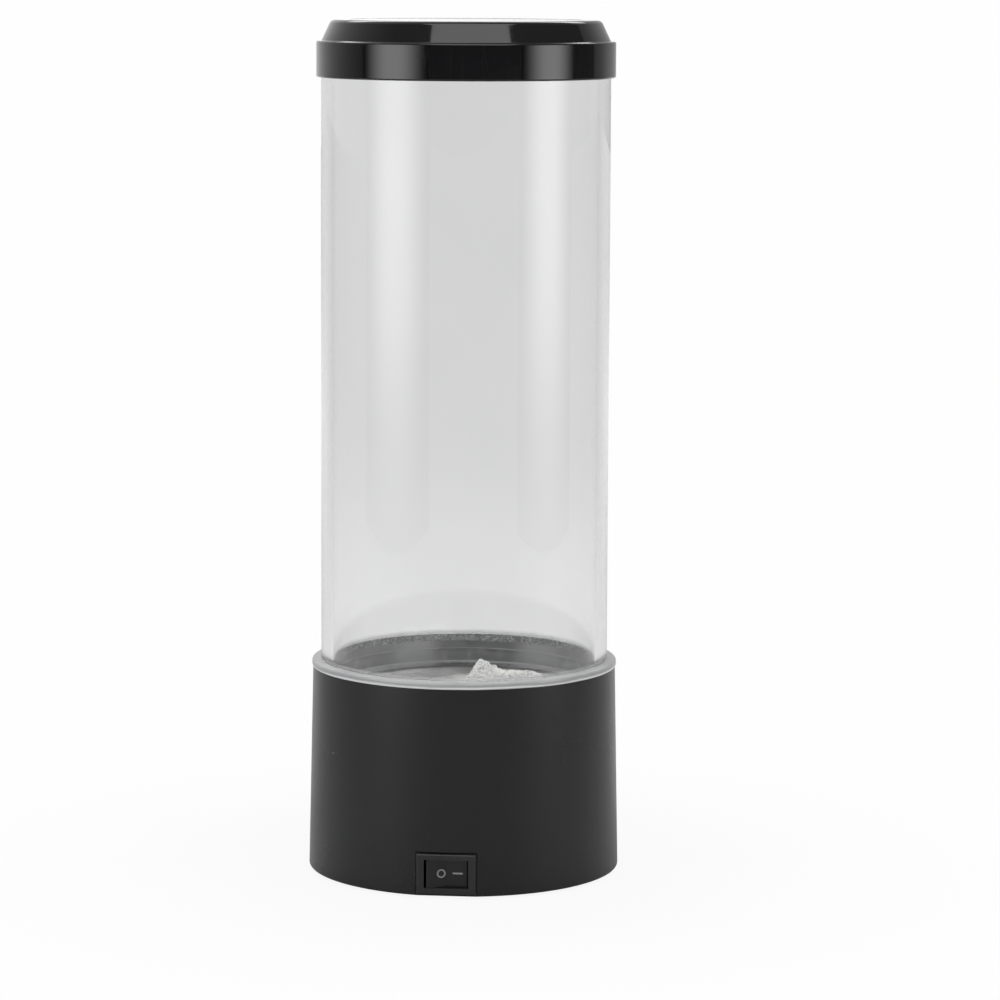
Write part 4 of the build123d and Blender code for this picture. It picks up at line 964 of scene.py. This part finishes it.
def onPocketRim(*ends):
    # the pocket's border on the curved wall: its two sides and its top
    for co in ends:
        onWall = co.y < 0 and math.hypot(co.x, co.y) > wallRadius(co.z) - shellValues["pocketReach"]
        if not onWall or co.z > pocketTop + same:
            return False
    side = all(abs(abs(co.x) - halfPocket) < same for co in ends)
    head = all(abs(co.z - pocketTop) < same and abs(co.x) < halfPocket + same for co in ends)
    return (side or head) and min(co.z for co in ends) > shellLow.z + shellValues["pocketFoot"]


selectOnly(baseShell)
bpy.ops.object.mode_set(mode="EDIT")
bpy.ops.mesh.select_mode(type="EDGE")
pickEdges(baseShell, onPocketRim)
bpy.ops.mesh.bevel(offset=shellValues["pocketEdge"] * mm, affect="EDGES", segments=3, clamp_overlap=False)
bpy.ops.object.mode_set(mode="OBJECT")
finishPiece(baseShell, materials["base_plastic"], 30, "lamp", "base_plastic", "base_shell")


# Sealant bead: fills the groove, covers the rim and is smoothed up the tank's wall by hand

beadValues = {
    "side": 1.7, "edge": 0.6, "footEdge": 0.3, "gap": 0.02, "overRim": 0.01, "sag": 0.12, "slopeParts": 6,
    "uneven": 0.08, "lumps": ((0.3, 1.0), (0.9, 0.6)), "evenHeight": 0.4, "evenWidth": 0.1, "steps": 320,
}
beadLow, beadHigh = nodeBox("tank_seal")
beadHead = Vector((beadHigh.x, rimZ + beadValues["side"]))
beadTop = Vector((tankOuter + beadValues["gap"], beadHigh.z))
slope = []
for index in range(1, beadValues["slopeParts"]):
    share = index / beadValues["slopeParts"]
    sag = beadValues["sag"] * math.sin(math.pi * share)
    slope.append(beadHead.lerp(beadTop, share) - Vector((0, sag)))
sealBead = latheOutline(
    "sealBead",
    [
        (tankOuter + beadValues["gap"], beadLow.z),
        (grooveOuter - beadValues["gap"], beadLow.z),
        (grooveOuter - beadValues["gap"], rimZ + beadValues["overRim"]),
        (beadHigh.x, rimZ + beadValues["overRim"], beadValues["footEdge"], 4),
        (*beadHead, beadValues["edge"], 6),
        *slope,
        beadTop,
    ],
    beadValues["steps"],
    closed=True,
)
unevenFrom, unevenRadius = rimZ + beadValues["evenHeight"], tankOuter + beadValues["evenWidth"]
for point in sealBead.data.vertices:
    co = point.co / mm
    if co.z > unevenFrom and math.hypot(co.x, co.y) > unevenRadius:
        lump = sum(share * noise.noise(co * scale) for scale, share in beadValues["lumps"])
        point.co.z += lump * beadValues["uneven"] * mm
finishPiece(sealBead, materials["silicone"], 60, "lamp", "silicone", "tank_seal")


# Smear of sealant that the bead leaves on the glass above it, and below it a film in the gap between the
# tank's foot and the base's recess: adhesive, its grey partly painted light of the recess's wall


def addSleeve(name, inner, outer, low, high, material, steps=256):
    outline = [(inner, low), (outer, low), (outer, high), (inner, high)]
    finishPiece(latheOutline(name, outline, steps, closed=True), material, 40, "lamp", "silicone")


smearValues = {"gap": 0.02, "thickness": 0.04, "lap": 0.1, "height": 1.9}
smearIn = tankOuter + smearValues["gap"]
smearOut = smearIn + smearValues["thickness"]
smearLow, smearHigh = beadHigh.z + smearValues["lap"], beadHigh.z + smearValues["height"]
addSleeve("beadSmear", smearIn, smearOut, smearLow, smearHigh, smearMaterial())

filmValues = {"gap": 0.02, "footLift": 0.3, "underBead": 0.01}
filmIn, filmOut = tankOuter + filmValues["gap"], recess - filmValues["gap"]
filmLow, filmHigh = footZ + filmValues["footLift"], beadLow.z - filmValues["underBead"]
addSleeve("glueAndPaintedLight", filmIn, filmOut, filmLow, filmHigh, glueAndPaintedLightMaterial())


# Fine dust on the tank's floor, most of it beside the heap

dustValues = {"radius": 30.2, "thickness": 0.03, "lift": 0.02, "sides": 96}
deselectAll()
middle = (0, 0, (floorZ + dustValues["lift"]) * mm)
size = {"vertices": dustValues["sides"], "radius": dustValues["radius"] * mm}
bpy.ops.mesh.primitive_circle_add(fill_type="NGON", location=middle, **size)
floorDust = bpy.context.active_object
floorDust.name = floorDust.data.name = "floorDust"
bpy.ops.object.transform_apply(location=True, rotation=False, scale=False)
editAll()
bpy.ops.mesh.extrude_region_move(TRANSFORM_OT_translate={"value": (0, 0, dustValues["thickness"] * mm)})
closeMesh()
finishPiece(floorDust, dustMaterial(), 0, "lamp", "white_stone")


# White grains: a steep little heap with a low tail to one side

heapValues = {
    "peakX": 3.5, "peakY": 6.0, "height": 6.5, "reachLeft": 4.2, "reachRight": 13.0, "reachAcross": 5.4,
    "tailHeight": 3.5, "tailHalf": 4.7, "tailEnd": 21.0, "tailTaper": 0.3, "tailRound": 6, "tailDrop": 14,
    "bump": 0.35, "bumpScale": 0.9, "bumpLayer": 3.1, "bumpFrom": 0.3,
    "grains": 3200, "tries": 60000, "smallest": 0.24, "largest": 0.46, "shapes": 8, "rough": 0.22,
    "margin": 0.3, "least": 0.25, "depths": (-0.28, 0.0, 0.0, 0.0, 0.35, 0.8), "rest": 0.55, "sunk": 0.6,
    "stray": 46, "strayX": (1.5, 21.5), "strayY": 3.6, "straySize": (0.2, 0.4),
    "coreGrid": (60, 44), "coreBelow": 0.5, "coreFrom": 0.45, "coreLift": (0.02, 0.05),
}
heapLow, heapHigh = nodeBox("gravel")


def heapHeight(x, y):
    # steep on the left of the peak, gentle on the right, then the low tail
    v = heapValues
    dx, dy = x - v["peakX"], y - v["peakY"]
    reach = v["reachLeft"] if dx < 0 else v["reachRight"]
    cone = v["height"] * max(0.0, 1 - math.hypot(dx / reach, dy / v["reachAcross"]))
    along = dx / (v["tailEnd"] - v["peakX"])
    tail = 0.0
    if 0 < along < 1:
        half = v["tailHalf"] * (1 - v["tailTaper"] * along) * math.sqrt(1 - along ** v["tailRound"])
        tail = v["tailHeight"] * (1 - along ** v["tailDrop"]) * max(0.0, 1 - (dy / half) ** 2)
    top = max(cone, tail)
    bumpy = v["bump"] * noise.noise(Vector((x * v["bumpScale"], y * v["bumpScale"], v["bumpLayer"])))
    return top + (bumpy if top > v["bumpFrom"] else 0.0)


deselectAll()
bpy.ops.mesh.primitive_ico_sphere_add(subdivisions=1, radius=1)
grainSeed = bpy.context.active_object
editAll()
bpy.ops.transform.vertex_random(offset=heapValues["rough"], uniform=0.4, seed=3)
bpy.ops.object.mode_set(mode="OBJECT")
grainMeshes = []
for index in range(heapValues["shapes"]):
    shape = grainSeed.data.copy()
    for point in shape.vertices:
        point.co *= 1 + random.uniform(-heapValues["rough"], heapValues["rough"])
    grainMeshes.append(shape)


def addGrain(x, y, z, size):
    grain = bpy.data.objects.new("grain", random.choice(grainMeshes).copy())
    bpy.context.scene.collection.objects.link(grain)
    turn = Euler([random.uniform(0, math.tau) for _ in range(3)]).to_matrix().to_4x4()
    stretch = Matrix.Diagonal((size, size * random.uniform(0.7, 1.0), size * random.uniform(0.6, 1.0), 1))
    grain.data.transform(Matrix.Translation(Vector((x, y, z)) * mm) @ turn @ stretch @ Matrix.Scale(mm, 4))
    return grain


grains = []
tries = 0
while len(grains) < heapValues["grains"] and tries < heapValues["tries"]:
    tries += 1
    x = random.uniform(heapLow.x + heapValues["margin"], heapHigh.x - heapValues["margin"])
    y = random.uniform(heapLow.y + heapValues["margin"], heapHigh.y - heapValues["margin"])
    top = heapHeight(x, y)
    if top < heapValues["least"]:
        continue
    size = random.uniform(heapValues["smallest"], heapValues["largest"])
    depth = random.choice(heapValues["depths"])
    z = floorZ + max(size * heapValues["rest"], top - size * heapValues["sunk"] - depth)
    grains.append(addGrain(x, y, z, size))
for index in range(heapValues["stray"]):
    x = random.uniform(*heapValues["strayX"])
    y = heapValues["peakY"] + random.gauss(0, heapValues["strayY"])
    size = random.uniform(*heapValues["straySize"])
    if heapHeight(x, y) < heapValues["bumpFrom"]:
        grains.append(addGrain(x, y, floorZ + size * heapValues["rest"], size))
print("grains:", len(grains))

# a smooth core fills the heap, so that no light shows between the grains
deselectAll()
across, deep = heapValues["coreGrid"]
bpy.ops.mesh.primitive_grid_add(x_subdivisions=across, y_subdivisions=deep, size=1)
whiteGrains = bpy.context.active_object
whiteGrains.name = whiteGrains.data.name = "whiteGrains"
coreFoot, coreEdge = (floorZ + lift for lift in heapValues["coreLift"])
for point in whiteGrains.data.vertices:
    x = heapLow.x + (point.co.x + 0.5) * (heapHigh.x - heapLow.x)
    y = heapLow.y + (point.co.y + 0.5) * (heapHigh.y - heapLow.y)
    point.co = Vector((x, y, coreEdge + max(0.0, heapHeight(x, y) - heapValues["coreBelow"]))) * mm
selectOnly(whiteGrains)
editAll()
pickVerts(whiteGrains, lambda co: heapHeight(co.x, co.y) < heapValues["coreFrom"])
bpy.ops.mesh.delete(type="VERT")
bpy.ops.mesh.select_all(action="SELECT")
bpy.ops.mesh.extrude_region_move(TRANSFORM_OT_translate={"value": (0, 0, 0)})
bpy.ops.transform.resize(value=(1, 1, 0), center_override=(0, 0, coreFoot * mm))
closeMesh()
for grain in grains:
    grain.select_set(True)
bpy.ops.object.join()
bpy.data.objects.remove(grainSeed)
whiteGrains.data.materials.clear()
finishPiece(whiteGrains, materials["white_stone"], 0, "lamp", "white_stone", "gravel")


# Yellow gel domes in the six lights

domeValues = {"radius": 1.6, "rise": 0.28, "ring": 23.5, "count": 6, "sunk": 0.38}
domeZ = nodeBox("board_lights")[1].z - domeValues["sunk"]
domes = []
for angle, x, y in ringSpots(domeValues["ring"], domeValues["count"]):
    deselectAll()
    bpy.ops.mesh.primitive_uv_sphere_add(segments=32, ring_count=16, radius=domeValues["radius"] * mm)
    domes.append(bpy.context.active_object)
    editAll()
    bpy.ops.mesh.bisect(plane_co=(0, 0, 0), plane_no=(0, 0, 1), clear_inner=True, use_fill=True)
    bpy.ops.mesh.select_all(action="SELECT")
    bpy.ops.transform.resize(value=(1, 1, domeValues["rise"]), center_override=(0, 0, 0))
    bpy.ops.transform.translate(value=Vector((x, y, domeZ)) * mm)
    bpy.ops.object.mode_set(mode="OBJECT")
lightDomes = domes[0]
selectOnly(lightDomes)
for dome in domes:
    dome.select_set(True)
bpy.ops.object.join()
lightDomes.name = lightDomes.data.name = "lightDomes"
finishPiece(lightDomes, phosphorMaterial(), 50, "lamp", "light_body")


# Studio: camera, floor, world and four soft panels

cameraValues = {
    "place": (0.1119, -1.0119, 0.2314), "turn": 5.8, "down": 7.6, "roll": 0.26,
    "lens": 144.0, "sensor": 36.0, "clip": (0.05, 30),
}
scene = bpy.context.scene
cameraData = bpy.data.cameras.new("camera")
cameraData.sensor_width = cameraValues["sensor"]
cameraData.lens = cameraValues["lens"]
cameraData.clip_start, cameraData.clip_end = cameraValues["clip"]
camera = bpy.data.objects.new("camera", cameraData)
scene.collection.objects.link(camera)
facing = math.radians(cameraValues["turn"])
aim = Euler((math.radians(90 - cameraValues["down"]), 0, facing)).to_matrix()
roll = Matrix.Rotation(math.radians(cameraValues["roll"]), 3, "Z")
camera.matrix_world = Matrix.Translation(cameraValues["place"]) @ (aim @ roll).to_4x4()
scene.camera = camera
scene.view_settings.view_transform = "Standard"
scene.view_settings.look = "None"

studioValues = {  # a pair of pairs is a span and the levels at its two ends
    "leftFade": ((-0.25, 0.9), (0.1, 0.92)),
    "rightStep": ((0.42, 0.45), (0.1, 0.32)),
    "rightRise": ((0.45, 0.8), (0.0, 0.22)),
    "sides": ((-0.1, 0.1), (0.0, 1.0)),
    "top": ((0.3, 0.8), (0.0, 0.18)),
    "lowBehind": ((0.03, 0.12), (0.45, 0.0)),
    "straightBehind": ((0.97, 0.995), (0.0, 1.0)),
    "seen": 0.991,
    "through": ((0.08, 0.5), (0.675, 2.6)),
    "throughSide": ((0.65, 1.0), (0.0, 0.2)),
    "floorThrough": ((0.35, 1.0), (0.748, 0.675)),
    "floorTone": 0.62,
    "floorSeen": 0.991,
    "floorNear": ((0.04, 0.16), (0.92, 1.0)),
    "mirrored": ((0.25, 1.2), (0.14, 0.6)),
    "mirroredBehind": ((0.6, 0.85), (0.0, 1.0)),
    "panelFoot": -0.02,
    "aimHeight": 0.1,
}
toCamera = Vector((math.sin(facing), -math.cos(facing), 0))
toRight = Vector((math.cos(facing), math.sin(facing), 0))


def makeWorld():
    # reflections: a pale wall that fades in behind the lamp, sooner on the left than on the right
    values = studioValues
    world = bpy.data.worlds.new("studio")
    scene.world = world
    world.use_nodes = True
    tree = world.node_tree
    direction = addNode(tree, "ShaderNodeTexCoord").outputs["Generated"]
    behind = vectorNode(tree, "DOT_PRODUCT", direction, -toCamera)
    beside = vectorNode(tree, "DOT_PRODUCT", direction, toRight)
    height = partsOf(tree, direction)["Z"]
    left = rangeNode(tree, behind, *values["leftFade"], smooth=False)
    right = rangeNode(tree, behind, *values["rightStep"])
    right = mathNode(tree, "ADD", right, rangeNode(tree, behind, *values["rightRise"]))
    around = mixValue(tree, rangeNode(tree, beside, *values["sides"]), left, right)
    studio = mathNode(tree, "ADD", around, rangeNode(tree, height, *values["top"]))
    low = rangeNode(tree, height, *values["lowBehind"])
    low = mathNode(tree, "MULTIPLY", low, rangeNode(tree, behind, *values["straightBehind"]))
    studio = mathNode(tree, "ADD", studio, low)
    through = rangeNode(tree, height, *values["through"])
    through = mathNode(tree, "ADD", through, sidewaysLevel(tree, beside))
    path = addNode(tree, "ShaderNodeLightPath").outputs
    lit = mixValue(tree, path["Is Transmission Ray"], studio, through)
    seen = mixValue(tree, path["Is Camera Ray"], lit, values["seen"])
    setInputs(tree, tree.nodes["Background"], {"Strength": seen, "Color": (1, 1, 1, 1)})


def sidewaysLevel(tree, beside):
    # what the tank's edges show of the room beside the lamp
    return rangeNode(tree, mathNode(tree, "ABSOLUTE", beside), *studioValues["throughSide"], smooth=False)


def stageMaterial(name):
    material = bpy.data.materials.new(name)
    material.use_nodes = True
    tree = material.node_tree
    tree.nodes.remove(tree.nodes["Principled BSDF"])
    return material, tree, tree.nodes["Material Output"]


def glowNode(tree, strength):
    return addNode(tree, "ShaderNodeEmission", {"Strength": strength}).outputs[0]


def mixShader(tree, share, first, second):
    return addNode(tree, "ShaderNodeMixShader", {0: share, 1: first, 2: second}).outputs[0]


def makeFloor():
    # white paper, a little darker close round the lamp
    values = studioValues
    deselectAll()
    bpy.ops.mesh.primitive_plane_add(size=8)
    floor = bpy.context.active_object
    floor.name = "paleFloor"
    material, tree, output = stageMaterial("paleFloor")
    coords = addNode(tree, "ShaderNodeTexCoord").outputs["Object"]
    path = addNode(tree, "ShaderNodeLightPath").outputs
    away = vectorNode(tree, "LENGTH", coords)
    heading = vectorNode(tree, "NORMALIZE", coords)
    beside = vectorNode(tree, "DOT_PRODUCT", heading, toRight)
    behind = vectorNode(tree, "DOT_PRODUCT", heading, -toCamera)
    matt = addNode(tree, "ShaderNodeBsdfDiffuse", {"Color": (*[values["floorTone"]] * 3, 1)}).outputs[0]
    share = rangeNode(tree, away, *values["floorNear"])
    seen = mixShader(tree, share, matt, glowNode(tree, values["floorSeen"]))
    # mirrored in the lamp, the floor behind it is brighter
    mirrored = rangeNode(tree, away, *values["mirrored"])
    mirrored = mathNode(tree, "MULTIPLY", mirrored, rangeNode(tree, behind, *values["mirroredBehind"]))
    mirrored = mathNode(tree, "MULTIPLY", mirrored, path["Is Glossy Ray"])
    lit = addNode(tree, "ShaderNodeAddShader", {0: matt, 1: glowNode(tree, mirrored)}).outputs[0]
    level = rangeNode(tree, away, *values["floorThrough"])
    level = mathNode(tree, "ADD", level, sidewaysLevel(tree, beside))
    lit = mixShader(tree, path["Is Transmission Ray"], lit, glowNode(tree, level))
    setInputs(tree, output, {"Surface": mixShader(tree, path["Is Camera Ray"], lit, seen)})
    floor.data.materials.append(material)


def addPanel(name, turn, rise, distance, width, height, strength, softness, standing=False):
    # a soft panel that faces the lamp; turn and rise are seen from the lamp, 0 is the camera's side
    angle, lift = math.radians(turn), math.radians(rise)
    flat = toCamera * math.cos(angle) + toRight * math.sin(angle)
    centre = flat * distance * math.cos(lift) + Vector((0, 0, distance * math.sin(lift)))
    centre.z += height / 2 + studioValues["panelFoot"] if standing else studioValues["aimHeight"]
    aimAt = Vector((0, 0, centre.z if standing else studioValues["aimHeight"]))
    deselectAll()
    bpy.ops.mesh.primitive_plane_add(size=1)
    panel = bpy.context.active_object
    panel.name = name
    turnMatrix = (aimAt - centre).to_track_quat("Z", "Y").to_matrix().to_4x4()
    panel.data.transform(Matrix.Translation(centre) @ turnMatrix @ Matrix.Diagonal((width, height, 1, 1)))
    material, tree, output = stageMaterial(name)
    across = partsOf(tree, addNode(tree, "ShaderNodeTexCoord").outputs["UV"])
    level = strength
    for axis, soft in zip("XY", softness):
        off = mathNode(tree, "ABSOLUTE", mathNode(tree, "SUBTRACT", across[axis], 0.5))
        fade = rangeNode(tree, off, (0.5 * (1 - soft), 0.5), (1.0, 0.0))
        level = mathNode(tree, "MULTIPLY", fade, level)
    setInputs(tree, output, {"Surface": glowNode(tree, level)})
    panel.data.materials.append(material)
    panel.visible_camera = False
    panel.visible_transmission = False


makeWorld()
makeFloor()
addPanel("panelLeft", -55, 0, 0.62, 0.65, 0.54, 3.9, (0.9, 0.62), standing=True)
addPanel("panelRight", 66, 0, 0.62, 0.56, 0.54, 3.9, (0.9, 0.62), standing=True)
addPanel("panelFront", 5.3, 60, 1.5, 1.4, 1.3, 2.7, (0.05, 0.05))
addPanel("panelBack", 180, 42, 1.5, 1.7, 0.35, 5.0, (0.2, 0.3))
print("studio: camera, floor and 4 panels")
